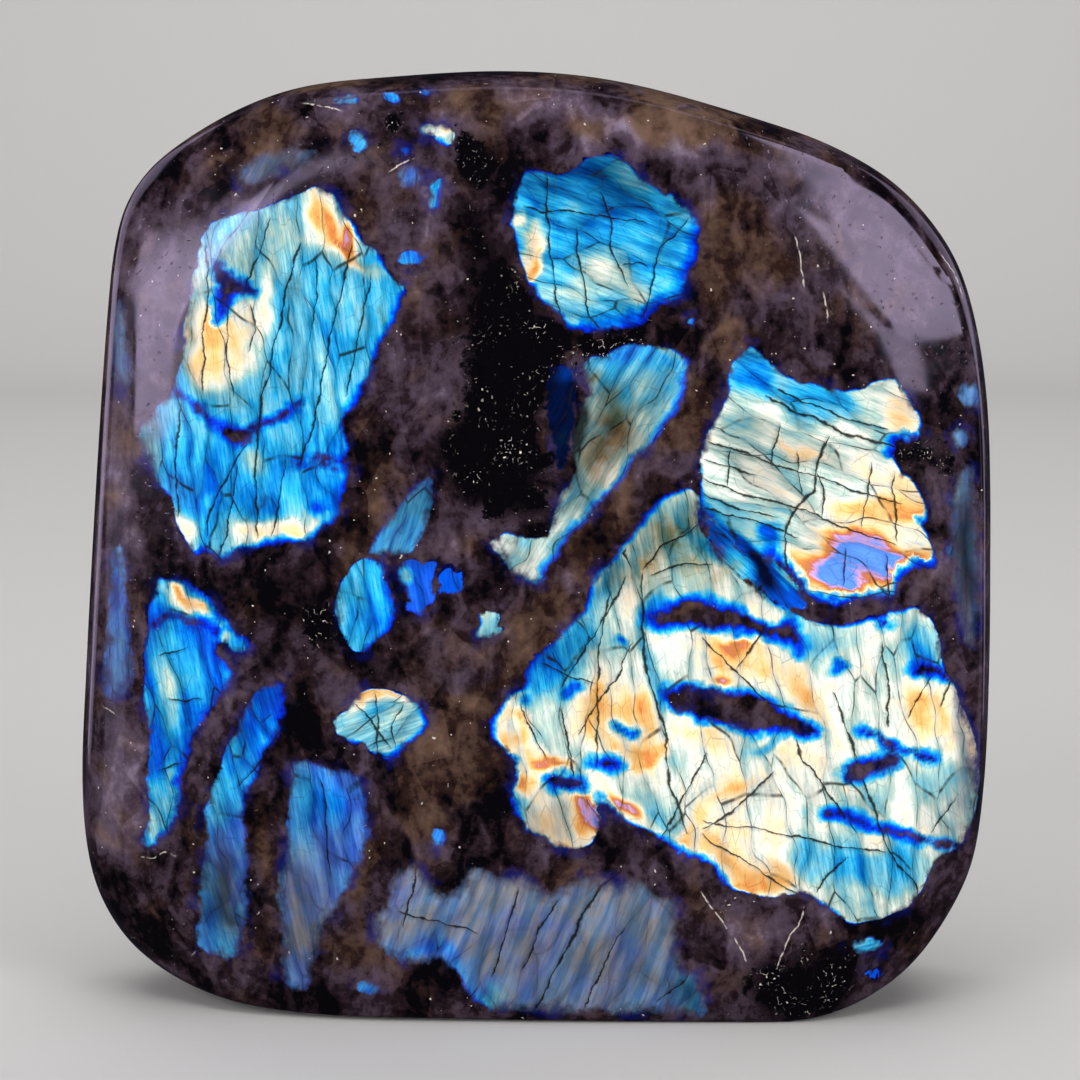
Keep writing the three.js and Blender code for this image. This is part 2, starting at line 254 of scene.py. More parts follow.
SPOTS = table(Spot, (
    # The left patch
    (275, 235, 45, 24, 10, 0.45, 0.9), (322, 215, 36, 16, 100, 0.76, 1.0),
    (350, 254, 34, 7, -22, 0.84, 1.0), (357, 238, 20, 13, 80, 0.88, 1.0),
    (252, 322, 66, 13, 70, 0.64, 0.95), (224, 350, 62, 24, 98, 0.755, 1.0),
    (206, 378, 22, 12, 98, 0.8, 0.8), (338, 320, 40, 7, 98, AZURE, 0.5), (372, 300, 40, 18, 98, 0.4, 0.7),
    (300, 350, 50, 20, 98, 0.45, 0.8), (240, 470, 70, 60, 98, AZURE, 0.85),
    (205, 437, 12, 9, 98, AQUA, 0.7), (253, 465, 17, 9, 98, AQUA, 0.7), (215, 505, 18, 9, 98, AQUA, 0.6),
    (283, 531, 48, 12, -3, 0.66, 1.0), (183, 528, 26, 6, 98, ORANGE, 0.6),
    (330, 470, 60, 16, 98, AZURE, 0.8), (186, 300, 60, 10, 98, CREAM, 0.4),
    # The upper middle patch
    (600, 196, 80, 34, -10, 0.25, 0.8), (588, 288, 34, 24, 0, 0.5, 1.0),
    (678, 262, 26, 14, 80, 0.36, 0.8), (634, 290, 16, 20, 0, WHITE, 1.0),
    (528, 252, 40, 10, 72, 0.66, 0.9), (534, 268, 26, 5, 70, 0.82, 0.9), (516, 222, 10, 5, 90, 0.74, 0.8),
    (640, 175, 45, 12, -20, AQUA, 0.4),
    # The middle patch
    (645, 358, 48, 12, 0, AZURE, 0.9), (640, 382, 42, 20, 0, CYAN, 0.8),
    (612, 435, 36, 34, 60, PALE_GREEN, 0.8), (590, 500, 34, 26, 60, AQUA, 0.8),
    (522, 556, 40, 20, -20, PALE_GREEN, 1.0),
    # The right upper patch
    (752, 370, 30, 24, 0, AZURE, 1.0), (825, 402, 45, 16, -22, 0.28, 0.9),
    (765, 470, 70, 44, -22, PALE_GREEN, 0.6), (790, 445, 34, 10, -22, 0.7, 0.7),
    (885, 510, 56, 15, 8, 0.76, 1.0), (822, 530, 24, 8, -30, 0.78, 0.8), (900, 480, 26, 20, 0, 0.68, 0.6),
    (850, 566, 56, 27, 4, 0.98, 1.0), (884, 557, 22, 12, -10, 0.95, 0.9),
    (838, 566, 14, 16, 0, 1.04, 0.9), (905, 556, 24, 12, 0, ROSE, 0.9), (838, 545, 20, 7, -20, 0.9, 0.8),
    (895, 410, 26, 26, 0, 0.66, 0.6), (925, 470, 14, 20, 0, 0.78, 0.6),
    # The right patch
    (742, 562, 66, 11, -43, 0.03, 1.0), (796, 606, 34, 8, -22, 0.1, 1.0), (777, 539, 10, 9, 0, 0.06, 1.0),
    (640, 545, 55, 34, 52, 0.52, 1.0), (614, 577, 46, 12, 52, 0.36, 0.9),
    (700, 570, 50, 24, -30, PALE_GREEN, 0.8), (560, 655, 48, 26, 50, 0.3, 1.0),
    (622, 645, 24, 44, 8, 0.57, 0.8), (618, 722, 42, 34, -10, 0.745, 0.95),
    (655, 668, 50, 9, 99, 0.38, 0.9), (668, 776, 46, 9, 101, 0.44, 0.8),
    (652, 804, 28, 15, -20, 0.4, 0.8), (748, 784, 76, 32, 0, 0.62, 1.0), (755, 842, 70, 26, 20, 0.7, 0.9),
    (812, 700, 34, 12, -62, 0.75, 0.8), (690, 640, 40, 10, -30, 0.66, 0.7),
    (764, 668, 60, 12, -34, 0.73, 0.8), (870, 700, 34, 10, -20, 0.7, 0.6),
    (690, 760, 30, 14, 20, 0.6, 0.7), (900, 650, 30, 24, 0, 0.58, 0.7), (706, 812, 56, 10, 42, 0.76, 0.8),
    (742, 862, 50, 10, -26, 0.77, 0.9), (764, 800, 40, 8, 60, 0.72, 0.6),
    (513, 722, 15, 10, -35, 0.83, 0.9), (512, 742, 12, 8, 0, 0.9, 0.7), (596, 706, 8, 28, 0, 0.79, 0.8),
    (545, 760, 32, 8, -14, 0.92, 0.9), (527, 780, 15, 8, -38, 0.88, 0.9), (643, 750, 28, 9, 8, 0.8, 0.9),
    (566, 800, 18, 6, -20, 0.8, 0.8), (552, 820, 46, 26, 0, 0.55, 1.0), (574, 838, 16, 7, 0, 0.66, 0.6),
    (522, 806, 12, 18, 0, 0.46, 0.8), (586, 813, 24, 9, -58, 0.93, 0.95), (772, 882, 34, 9, 6, 0.81, 1.0),
    (690, 846, 40, 8, -28, 0.78, 0.7), (868, 866, 66, 24, -8, 0.33, 1.0), (812, 872, 26, 18, 0, 0.4, 0.8),
    (872, 903, 40, 13, 0, 0.5, 0.8), (742, 640, 22, 10, 10, ROSE, 0.8),
    (716, 652, 30, 14, -20, 0.72, 0.7), (700, 738, 40, 9, -15, 0.74, 0.6),
    (718, 681, 14, 6, 0, 0.86, 0.9), (925, 716, 28, 24, 0, 0.76, 0.95), (925, 645, 14, 20, 0, AZURE, 0.8),
    (623, 729, 12, 11, 0, 0.7, 1.0), (630, 812, 16, 9, -35, 0.91, 0.95),
    (830, 680, 60, 34, -20, 0.62, 0.6), (860, 740, 30, 12, -20, 0.66, 0.6),
    (945, 790, 26, 44, 80, 0.5, 0.6), (820, 640, 40, 14, 0, 0.46, 0.7), (858, 806, 40, 14, 10, 0.48, 0.8),
    (835, 668, 8, 6, 0, DEEP_BLUE, 1.0), (620, 636, 6, 5, 0, DEEP_BLUE, 1.0),
    (576, 693, 7, 6, 0, DEEP_BLUE, 1.0), (624, 730, 5, 5, 0, 0.06, 1.0),
    (520, 700, 10, 7, 20, AZURE, 1.0), (650, 612, 14, 9, 60, AZURE, 0.8),
    (783, 742, 30, 7, 10, AZURE, 0.7), (668, 700, 12, 8, 80, AZURE, 0.8),
    # The left lower patch, the blades and the small ones
    (188, 592, 28, 7, -20, ORANGE, 0.9), (185, 604, 32, 8, -15, CREAM, 0.9),
    (222, 632, 16, 10, -40, GOLD, 0.9), (156, 655, 12, 46, 0, 0.15, 0.8),
    (170, 694, 62, 13, 95, 0.42, 1.0), (182, 700, 24, 12, 95, AQUA, 0.6),
    (205, 640, 30, 10, -50, DEEP_BLUE, 0.6), (165, 800, 38, 14, 95, PALE_GREEN, 0.7),
    (222, 675, 16, 30, 0, DEEP_BLUE, 0.6), (262, 708, 44, 20, 60, 0.12, 1.0),
    (222, 795, 40, 15, 80, 0.4, 0.9), (208, 770, 30, 6, 75, 0.52, 0.7), (312, 805, 36, 18, 95, 0.27, 0.8),
    (362, 830, 32, 10, 90, 0.16, 0.8), (378, 696, 40, 8, 8, 0.76, 1.0),
    (350, 708, 14, 8, 50, ORANGE, 0.7), (380, 728, 30, 14, 0, 0.4, 0.8), (415, 566, 14, 8, 0, AQUA, 0.8),
    (350, 610, 10, 26, 0, 0.44, 0.8), (378, 600, 9, 30, 0, 0.2, 0.7), (395, 515, 14, 30, -40, CYAN, 0.7),
    (482, 618, 10, 9, 0, CREAM, 0.6), (435, 130, 10, 8, 0, CREAM, 0.8), (485, 998, 22, 10, 0, AQUA, 0.9),
    (682, 992, 28, 24, 0, CYAN, 0.9),
))

# Where a patch clouds over: centre, half length, half width, turn and how hazy it gets.
Cloud = namedtuple("Cloud", "x y long wide turn amount")

HAZES = table(Cloud, (
    (225, 890, 72, 34, 95, 0.8), (305, 920, 80, 36, 100, 0.6), (322, 800, 30, 44, 100, -0.45),
    (605, 440, 44, 34, 60, 0.12), (600, 910, 120, 40, 0, 0.1), (148, 450, 50, 16, 80, 0.8),
    (960, 770, 80, 16, 84, 0.7), (690, 990, 30, 30, 0, -0.5), (485, 998, 26, 14, 0, -0.5),
    (400, 950, 44, 12, 0, -0.6), (444, 962, 26, 10, -30, -0.6), (466, 992, 22, 12, -50, -0.5),
))

# Where the flash is dimmer: centre, half length, half width, turn and how much
DIMS = table(Cloud, (
    (598, 182, 100, 34, -10, 0.8), (612, 430, 44, 32, 60, 0.78), (270, 240, 50, 26, 10, 0.2),
    (520, 560, 44, 26, 0, 0.3), (580, 500, 30, 26, 60, 0.3), (634, 290, 30, 30, 0, 0.15),
    (558, 424, 26, 70, 0, 1.7), (757, 572, 30, 9, -43, 1.7), (592, 428, 26, 26, 0, 0.6),
    (612, 575, 46, 15, 52, 0.62), (116, 640, 18, 90, 0, 0.5), (226, 915, 34, 26, 0, 0.85),
    (280, 166, 60, 26, -10, 0.5), (118, 340, 20, 80, 0, 0.55), (560, 650, 50, 28, 50, 0.35),
    (655, 545, 55, 42, 52, 0.5), (770, 462, 60, 36, -22, 0.3), (225, 895, 80, 34, 95, 0.78),
    (325, 830, 50, 14, 95, 0.4), (312, 808, 44, 34, 0, 0.45), (254, 716, 40, 24, 60, 0.4),
    (552, 822, 42, 28, 0, 0.42), (305, 915, 84, 34, 100, 0.5), (560, 965, 170, 50, 0, 0.36),
    (684, 992, 34, 30, 0, 0.8), (410, 510, 44, 28, 70, 0.45), (146, 450, 46, 15, 80, 0.6),
    (968, 560, 90, 22, 90, 0.9), (966, 770, 80, 18, 84, 0.3), (700, 350, 30, 20, 0, 0.1),
))

# Amber-brown stains that have soaked into a patch: centre, half length, half width, turn and strength
STAINS = table(Cloud, (
    (612, 432, 52, 30, 60, 0.95), (590, 380, 14, 9, 20, 0.9), (527, 250, 40, 10, 95, 0.5),
    (680, 540, 52, 32, 0, 0.75), (640, 572, 26, 18, 40, 0.8), (720, 575, 30, 14, 30, 0.5),
    (193, 345, 60, 8, 96, 0.75), (345, 240, 30, 12, 100, 0.5), (372, 258, 20, 6, -35, 0.8),
    (385, 330, 34, 7, 75, 0.6), (556, 822, 40, 22, 0, 0.26), (812, 700, 40, 14, -66, 0.4),
    (742, 862, 60, 10, -26, 0.5), (800, 450, 50, 12, -22, 0.35), (925, 500, 34, 10, 100, 0.5),
    (210, 600, 36, 8, -35, 0.7), (370, 692, 50, 6, 6, 0.6), (640, 890, 60, 14, 0, 0.5),
    (600, 940, 20, 60, 30, 0.4), (905, 400, 24, 18, 0, 0.45),
))

# The dense black inclusion and its branches
INCLUSIONS = (
    ((500, 250), (520, 275), (540, 300), (565, 325), (600, 330), (640, 330), (640, 340), (600, 350),
     (572, 362), (560, 380), (545, 395), (540, 420), (548, 450), (538, 478), (546, 490), (536, 508),
     (518, 520), (500, 520), (480, 502), (462, 470), (442, 450), (450, 420), (472, 408), (478, 380),
     (458, 352), (462, 322), (472, 298), (484, 270)),
    ((458, 205), (470, 200), (482, 240), (496, 262), (478, 276), (466, 250)),
    ((375, 110), (392, 98), (404, 115), (398, 136), (382, 142)),
    ((452, 140), (470, 132), (500, 142), (510, 165), (484, 182), (462, 174)),
    ((744, 1000), (756, 968), (800, 952), (840, 950), (862, 966), (850, 1004), (800, 1020), (756, 1018)),
    ((298, 612), (318, 598), (334, 610), (328, 636), (306, 644)),
    ((955, 360), (964, 353), (974, 362), (970, 376), (958, 374)),
    ((892, 442), (920, 438), (948, 448), (966, 470), (940, 466), (905, 456)),
)

# The dark stone between the patches: centre, half length, half width, turn and how strong. The first clouds
# darken it, partly with its own darker tone and partly with painted shade along the grazing edges, the
# bottom edge and the rounded underside at the lower left.
DARKER_TONE_AND_PAINTED_SHADE = table(Cloud, (
    (820, 262, 40, 34, 60, 0.5), (742, 250, 50, 22, 80, 0.45), (400, 1000, 160, 14, 0, 0.5),
    (820, 330, 60, 20, 20, 0.5), (130, 960, 60, 30, 45, 0.5), (300, 700, 80, 26, 70, 0.9),
    (430, 800, 60, 30, 0, 0.9), (250, 590, 70, 24, 0, 0.9), (520, 680, 50, 14, 60, 0.8),
    (360, 470, 70, 16, 95, 0.7), (700, 345, 44, 14, 100, 0.7), (870, 940, 60, 30, 0, 0.7),
    (950, 330, 60, 16, 90, 0.8), (110, 900, 60, 40, 60, 0.8), (880, 190, 60, 14, -40, 0.7),
    (270, 190, 40, 14, 20, 0.4), (470, 480, 40, 20, 70, 0.7), (800, 338, 14, 9, 0, 0.9),
))
# The lilac clouds lighten it: partly its own mauve mottling, partly painted highlights along the top edge
# and the left and right rims.
MAUVE_TONE_AND_PAINTED_RIM_HIGHLIGHTS = table(Cloud, (
    (790, 250, 60, 40, 0, 0.25), (420, 250, 60, 24, 90, 0.5), (600, 122, 110, 22, -5, 1.7),
    (720, 150, 50, 16, -25, 0.9), (260, 150, 70, 20, 25, 0.5), (130, 240, 60, 16, 80, 0.6),
    (410, 400, 60, 30, 90, 0.6), (560, 420, 50, 22, 90, 0.5), (440, 380, 30, 16, 90, 0.5),
    (950, 520, 90, 20, 90, 0.6), (122, 480, 110, 22, 88, 1.0), (122, 770, 100, 22, 90, 0.9),
    (180, 450, 60, 10, 60, 0.5), (330, 800, 90, 70, 0, 0.3), (470, 660, 60, 40, 0, 0.3),
    (740, 920, 60, 26, 0, 0.5), (840, 620, 50, 10, 0, 0.7), (560, 920, 120, 40, 0, 0.4),
))
BROWN_CLOUDS = table(Cloud, (
    (450, 750, 90, 40, 60, 1.0), (600, 540, 60, 24, 60, 1.0), (360, 880, 60, 20, 80, 0.6),
    (250, 150, 60, 20, 20, 0.7), (600, 520, 60, 20, 60, 0.9), (680, 420, 60, 20, 65, 0.9),
    (540, 640, 60, 26, 50, 1.0), (470, 720, 60, 26, 55, 0.9), (720, 330, 50, 24, 90, 0.8),
    (745, 250, 60, 34, 90, 0.8), (560, 110, 90, 30, 0, 0.35), (370, 500, 60, 14, 80, 0.6),
    (700, 130, 70, 22, -15, 0.8), (270, 140, 80, 30, 20, 0.5), (600, 905, 60, 16, 0, 0.5),
    (190, 880, 90, 10, 90, 0.5), (262, 850, 90, 8, 90, 0.6),
))

# Healed fractures in the show face: half width in mm and the line that each follows.
CRACKS = (
    (0.22, ((764, 394), (790, 408), (820, 422), (850, 435), (872, 442), (897, 447))),
    (0.18, ((775, 388), (800, 400), (830, 412), (860, 422), (890, 430))),
    (0.13, ((700, 505), (760, 524), (800, 540))),
    (0.13, ((705, 440), (760, 458), (830, 482), (905, 505))),
    (0.13, ((205, 240), (208, 300), (202, 395))),
    (0.12, ((230, 300), (227, 350), (232, 400))),
    (0.12, ((250, 300), (254, 330), (247, 355))),
    (0.16, ((300, 240), (288, 290), (278, 330), (268, 370), (262, 400), (256, 470), (258, 540))),
    (0.12, ((318, 250), (316, 290), (312, 330))),
    (0.14, ((352, 240), (342, 290), (330, 340), (318, 400), (308, 440), (300, 470))),
    (0.12, ((370, 270), (360, 330), (345, 400))),
    (0.13, ((250, 440), (236, 458), (225, 480), (212, 510), (205, 540))),
    (0.12, ((236, 462), (230, 510), (220, 560))),
    (0.12, ((285, 455), (280, 500), (270, 540))),
    (0.13, ((180, 400), (176, 460), (178, 520))),
    (0.12, ((268, 214), (262, 250), (240, 300))),
    (0.13, ((546, 170), (548, 205), (550, 240), (555, 270), (558, 300), (567, 330))),
    (0.12, ((575, 225), (580, 262), (585, 300), (590, 325))),
    (0.12, ((598, 190), (608, 210), (612, 225), (610, 250), (620, 272), (628, 290))),
    (0.12, ((520, 205), (540, 210), (560, 210), (600, 216), (650, 225))),
    (0.12, ((690, 215), (675, 235), (660, 250), (654, 272), (652, 292), (640, 325))),
    (0.14, ((620, 268), (640, 262), (650, 270))),
    (0.12, ((700, 478), (750, 494), (800, 510), (850, 530), (900, 545))),
    (0.12, ((700, 492), (740, 508), (780, 520))),
    (0.12, ((700, 458), (730, 468), (760, 475))),
    (0.24, ((830, 435), (822, 452), (815, 470), (812, 490), (800, 503), (790, 515), (783, 530),
            (788, 570))),
    (0.14, ((815, 470), (820, 485), (823, 500), (820, 520))),
    (0.14, ((870, 460), (869, 480), (868, 500), (862, 530))),
    (0.13, ((893, 470), (895, 505), (898, 545))),
    (0.12, ((730, 445), (728, 465), (728, 490))),
    (0.12, ((780, 420), (776, 445), (772, 470))),
    (0.12, ((797, 448), (799, 475), (802, 500))),
    (0.12, ((845, 545), (843, 568), (842, 590))),
    (0.12, ((885, 550), (887, 580), (888, 608))),
    (0.2, ((645, 572), (642, 600), (642, 620), (646, 650), (650, 680), (656, 700), (662, 720),
           (667, 750), (670, 780), (676, 800), (684, 822), (690, 835))),
    (0.14, ((612, 590), (600, 640), (598, 700), (597, 770))),
    (0.13, ((634, 640), (620, 672), (600, 700), (578, 738))),
    (0.13, ((560, 705), (568, 740), (577, 780))),
    (0.15, ((628, 575), (610, 610), (585, 650), (560, 690))),
    (0.13, ((640, 570), (660, 548), (690, 530), (700, 520))),
    (0.13, ((632, 572), (622, 552), (628, 545))),
    (0.13, ((648, 575), (680, 566), (715, 562))),
    (0.16, ((700, 636), (718, 652), (735, 670), (750, 684), (765, 695), (780, 710))),
    (0.14, ((735, 670), (755, 645), (770, 622))),
    (0.3, ((798, 738), (803, 760), (815, 775), (825, 788), (835, 800), (845, 820))),
    (0.18, ((833, 690), (840, 705), (845, 720), (852, 740), (857, 760), (868, 790), (880, 830),
            (886, 845), (895, 860), (905, 872), (915, 885), (920, 905))),
    (0.14, ((885, 640), (888, 690), (885, 730))),
    (0.14, ((935, 675), (920, 695), (905, 720))),
    (0.16, ((700, 830), (718, 820), (740, 805), (758, 790), (775, 770))),
    (0.14, ((700, 820), (730, 826), (760, 830), (790, 836), (820, 840), (850, 848), (890, 853))),
    (0.14, ((700, 832), (716, 844), (735, 855), (760, 870), (800, 895))),
    (0.14, ((850, 855), (830, 875), (815, 895))),
    (0.15, ((958, 797), (945, 815), (930, 835))),
    (0.15, ((985, 632), (970, 650), (955, 675), (940, 710))),
    (0.14, ((660, 840), (672, 820), (686, 790), (706, 750))),
    (0.12, ((520, 700), (530, 730), (550, 760))),
    (0.12, ((540, 660), (570, 676), (600, 684))),
    (0.12, ((275, 712), (266, 718), (258, 725))),
    (0.12, ((283, 730), (270, 744), (260, 760), (246, 776), (235, 790))),
    (0.12, ((322, 775), (324, 795), (325, 810), (328, 845), (330, 880))),
    (0.12, ((155, 655), (172, 651), (190, 645))),
    (0.12, ((165, 700), (185, 700), (205, 697))),
    (0.12, ((155, 770), (170, 765), (185, 762))),
    (0.12, ((350, 702), (372, 722), (392, 752))),
    (0.12, ((372, 690), (378, 722), (376, 756))),
    (0.12, ((404, 700), (392, 725), (396, 750))),
    (0.2, ((665, 850), (630, 868), (600, 885), (585, 910), (575, 935), (560, 962), (545, 990),
           (535, 1010))),
    (0.15, ((625, 925), (612, 950), (600, 975), (592, 992), (585, 1010))),
    (0.13, ((420, 860), (412, 895), (403, 930))),
    (0.13, ((395, 910), (425, 918), (455, 925), (480, 935))),
    (0.13, ((700, 960), (680, 982), (655, 1005))),
    (0.12, ((520, 885), (508, 930), (490, 980))),
    (0.12, ((560, 895), (540, 930), (520, 975))),
)

# Pale hairlines: partly where the polish has opened a fracture, partly painted highlights along the top
# edge, the right rim and a crease at the upper left.
PALE_HAIRLINES_AND_PAINTED_HIGHLIGHTS = (
    (0.12, ((700, 890), (712, 908), (725, 925), (738, 945), (747, 965))),
    (0.12, ((805, 905), (798, 925), (785, 945), (775, 975), (772, 995), (776, 1012))),
    (0.1, ((100, 703), (112, 711), (123, 720))),
    (0.1, ((135, 855), (150, 858), (165, 852), (178, 858))),
    (0.1, ((190, 957), (198, 950))),
    (0.14, ((387, 173), (400, 165), (415, 157))),
    (0.1, ((300, 103), (322, 106), (345, 110))),
    (0.1, ((795, 230), (800, 260), (805, 290))),
    (0.1, ((822, 290), (826, 308), (828, 325))),
    (0.12, ((940, 250), (955, 275), (964, 300))),
)

# The back carries a few broad patches of its own: x and z in mm.
BACK_PATCHES = (
    Patch("back upper", 0.3, 0.0, 1.5, -60, 75, (
        (-34, 76), (-30, 82), (-31, 88), (-24, 93), (-20, 91), (-15, 97), (-8, 100), (-3, 97), (4, 99),
        (10, 95), (9, 89), (14, 84), (11, 78), (6, 79), (3, 72), (-3, 70), (-6, 64), (-14, 66), (-19, 61),
        (-25, 66), (-29, 70))),
    Patch("back lower", 0.5, 0.0, 1.4, -90, 80, (
        (4, 26), (2, 34), (7, 40), (6, 46), (13, 50), (16, 57), (24, 55), (29, 59), (37, 56), (43, 50),
        (41, 44), (45, 38), (40, 32), (41, 25), (34, 21), (28, 23), (22, 17), (15, 20), (10, 19))),
    Patch("back left", 0.22, 0.1, 1.2, 0, 80, (
        (-45, 18), (-49, 26), (-46, 33), (-49, 41), (-45, 50), (-40, 56), (-35, 52), (-34, 45), (-29, 42),
        (-30, 35), (-26, 28), (-31, 23), (-32, 16), (-38, 18), (-41, 13))),
    Patch("back corner", AQUA, 0.3, 1.0, 180, 75, (
        (22, 70), (25, 76), (23, 82), (29, 86), (33, 91), (40, 88), (46, 82), (43, 76), (46, 70), (40, 67),
        (38, 61), (32, 63), (27, 61))),
    Patch("back foot", AZURE, 0.6, 0.8, 90, 75, (
        (-15, 8), (-13, 14), (-16, 20), (-11, 26), (-9, 33), (-4, 35), (-1, 29), (3, 26), (2, 18), (6, 12),
        (2, 8), (-5, 9), (-9, 6))),
    Patch("back chip", CYAN, 0.0, 0.6, 0, 60, (
        (-7, 47), (-3, 50), (-4, 54), (0, 53), (2, 57), (6, 58), (7, 53), (4, 50), (7, 45), (2, 45),
        (0, 41), (-3, 44))),
    Patch("back top chip", AZURE, 0.2, 0.5, 0, 80, (
        (14, 103), (17, 105), (18, 109), (22, 107), (27, 108), (29, 104), (25, 103), (23, 100),
        (19, 102))),
    Patch("back side chip", DEEP_BLUE, 0.0, 0.4, 0, 80, (
        (-40, 61), (-37, 64), (-37, 69), (-34, 66), (-31, 70), (-30, 64), (-32, 62), (-32, 57), (-36, 59))),
)
BACK_SPOTS = table(Spot, (
    (-12, 86, 13, 6, 70, PALE_GREEN, 0.9), (-2, 90, 9, 4, 100, 0.72, 0.9), (-24, 76, 8, 5, 0, AZURE, 0.9),
    (24, 42, 15, 8, 70, 0.64, 1.0), (33, 32, 8, 5, 0, 0.76, 0.9), (12, 36, 6, 10, 0, CYAN, 0.8),
    (-39, 30, 10, 5, 90, AZURE, 0.8), (-38, 46, 8, 4, 60, CYAN, 0.9),
))


def srgb(red, green, blue):
    """A colour as a screen shows it, 0 to 255, made linear."""
    def linear(level):
        share = level / 255
        return share / 12.92 if share <= 0.04045 else ((share + 0.055) / 1.055) ** 2.4
    return linear(red), linear(green), linear(blue)


def colour(name, description, default):
    return FloatVectorProperty(name=name, description=description, default=default, subtype="COLOR",
                               size=3, min=0.0, max=1.0)


class StoneSettings(bpy.types.PropertyGroup):
    """Sizes and colours of the stone."""

    levels: IntProperty(
        name="Smoothing levels", description="How often the solid's net is halved", default=2, min=1,
        max=2)
    roughness: FloatProperty(
        name="Roughness", description="Of the polished surface", default=0.1, min=0.0, max=1.0,
        subtype="FACTOR")
    wave: FloatProperty(
        name="Wave", description="Height of the slight waves that hand polishing leaves",
        default=0.00005, min=0.0, max=0.001, subtype="DISTANCE", unit="LENGTH")
    navy: colour("Navy", "Thinnest layers, next to the dark stone", srgb(3, 5, 66))
    deep_blue: colour("Deep blue", "Rims of the patches", srgb(0, 46, 216))
    azure: colour("Azure", "Most of the blue patches", srgb(0, 128, 232))
    cyan: colour("Cyan", "Lighter blue patches", srgb(40, 176, 230))
    aqua: colour("Aqua", "Pale blue-green", srgb(122, 190, 204))
    pale_green: colour("Pale green", "Greenish grey of thicker layers", srgb(170, 198, 188))
    white: colour("White", "Brightest part of the flash", srgb(216, 220, 210))
    cream: colour("Cream", "Warm white streaks", srgb(238, 218, 180))
    gold: colour("Gold", "Warm streaks", srgb(234, 186, 114))
    orange: colour("Orange", "Fringes", srgb(214, 134, 66))
    russet: colour("Russet", "Thin red-brown rings", srgb(186, 108, 84))
    rose: colour("Rose", "Pinkish lilac", srgb(196, 152, 196))
    lilac: colour("Lilac", "Thickest layers", srgb(82, 132, 220))
    dark: colour("Dark stone", "Ground colour between the patches", srgb(34, 23, 29))
    # The lilac clouds raise the stone towards these two, partly as painted highlights along the rims.
    mauve: colour("Mauve stone", "Cloudy grey-purple mottling", srgb(78, 64, 78))
    pale_mauve: colour("Pale mauve stone", "Its palest clouds", srgb(128, 114, 134))
    dark_brown: colour("Dark brown stone", "Shaded parts of the warm veins", srgb(40, 25, 21))
    brown: colour("Brown stone", "Warm veins", srgb(98, 76, 64))
    black: colour("Black inclusion", "Dense dark mineral", srgb(4, 3, 5))
    glow: colour("Glow", "Deep blue that some patches throw into the dark stone", srgb(6, 18, 96))
    haze: colour("Haze", "Milky layer over some patches", srgb(80, 102, 126))
    stain: colour("Stain", "What an amber-brown stain leaves of a white flash", srgb(196, 150, 92))
    warm_haze: colour("Warm haze", "Its brownish streaks", srgb(124, 120, 122))
    crack: colour("Fracture", "Dark healed fractures", srgb(34, 32, 25))
    # Also the colour of the painted glints in the dark stone and of the painted highlights that some
    # hairlines make.
    sparkle: colour("Sparkle", "Pale hairlines and tiny crystals", srgb(216, 206, 196))


class StudioSettings(bpy.types.PropertyGroup):
    """Floor, lights and camera."""

    floor: colour("Floor", "Plain pale floor", srgb(196, 194, 192))
    room: colour("Room", "Even light from all round", srgb(38, 36, 44))
    front_light: FloatProperty(
        name="Front light", description="Power of the two big lights beside the camera", default=6.6,
        min=0.0, unit="POWER")
    top_light: FloatProperty(
        name="Top light", description="Power of the light overhead", default=5.0, min=0.0,
        unit="POWER")
    softbox: FloatProperty(
        name="Softboxes", description="Power of the panels that the corners mirror", default=0.9,
        min=0.0, unit="POWER")


def stone_settings():
    return bpy.context.scene.labradorite_stone


def studio_settings():
    return bpy.context.scene.labradorite_studio


# Shape

WELD = 0.01 * MM
SIDE_TILT = 0.45  # faces of the side reach no further than this towards the front or the back
RIM_CREASE = 0.55
SHOW_FACE_TILT = -0.85  # faces whose normal reaches further than this towards -Y get the finer net


def welded_net():
    """The CAD solid's surface as one net, in quads where two triangles make one."""
    net = bmesh.new()
    net.from_mesh(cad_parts[STONE].data)
    bmesh.ops.remove_doubles(net, verts=net.verts, dist=WELD)
    bmesh.ops.join_triangles(
        net, faces=net.faces, angle_face_threshold=math.pi, angle_shape_threshold=math.pi)
    net.normal_update()
    crease = net.edges.layers.float.new("crease_edge")
    for edge in net.edges:
        tilts = [-face.normal.y for face in edge.link_faces]
        if min(tilts) < SIDE_TILT < max(tilts):
            edge[crease] = RIM_CREASE
    return net


def finished_mesh(name, mesh, levels):
    """mesh smoothed by a Subdivision Surface modifier, with the modifier applied."""
    rough = bpy.data.objects.new(name + "_rough", mesh)
    bpy.context.scene.collection.objects.link(rough)
    smoothing = rough.modifiers.new("smoothing", "SUBSURF")
    smoothing.levels = levels
    smoothing.render_levels = levels
    evaluated = rough.evaluated_get(bpy.context.evaluated_depsgraph_get())
    smooth = bpy.data.meshes.new_from_object(evaluated)
    smooth.name = name
    bpy.data.objects.remove(rough)
    bpy.data.meshes.remove(mesh)
    return smooth


def refine_show_face(mesh):
    """Halves the net once more where the show face and its bevels are."""
    net = bmesh.new()
    net.from_mesh(mesh)
    net.normal_update()
    shown = [face for face in net.faces if face.normal.y < SHOW_FACE_TILT]
    edges = list({edge for face in shown for edge in face.edges})
    bmesh.ops.subdivide_edges(net, edges=edges, cuts=1, use_grid_fill=True)
    net.to_mesh(mesh)
    net.free()
    mesh.shade_smooth()


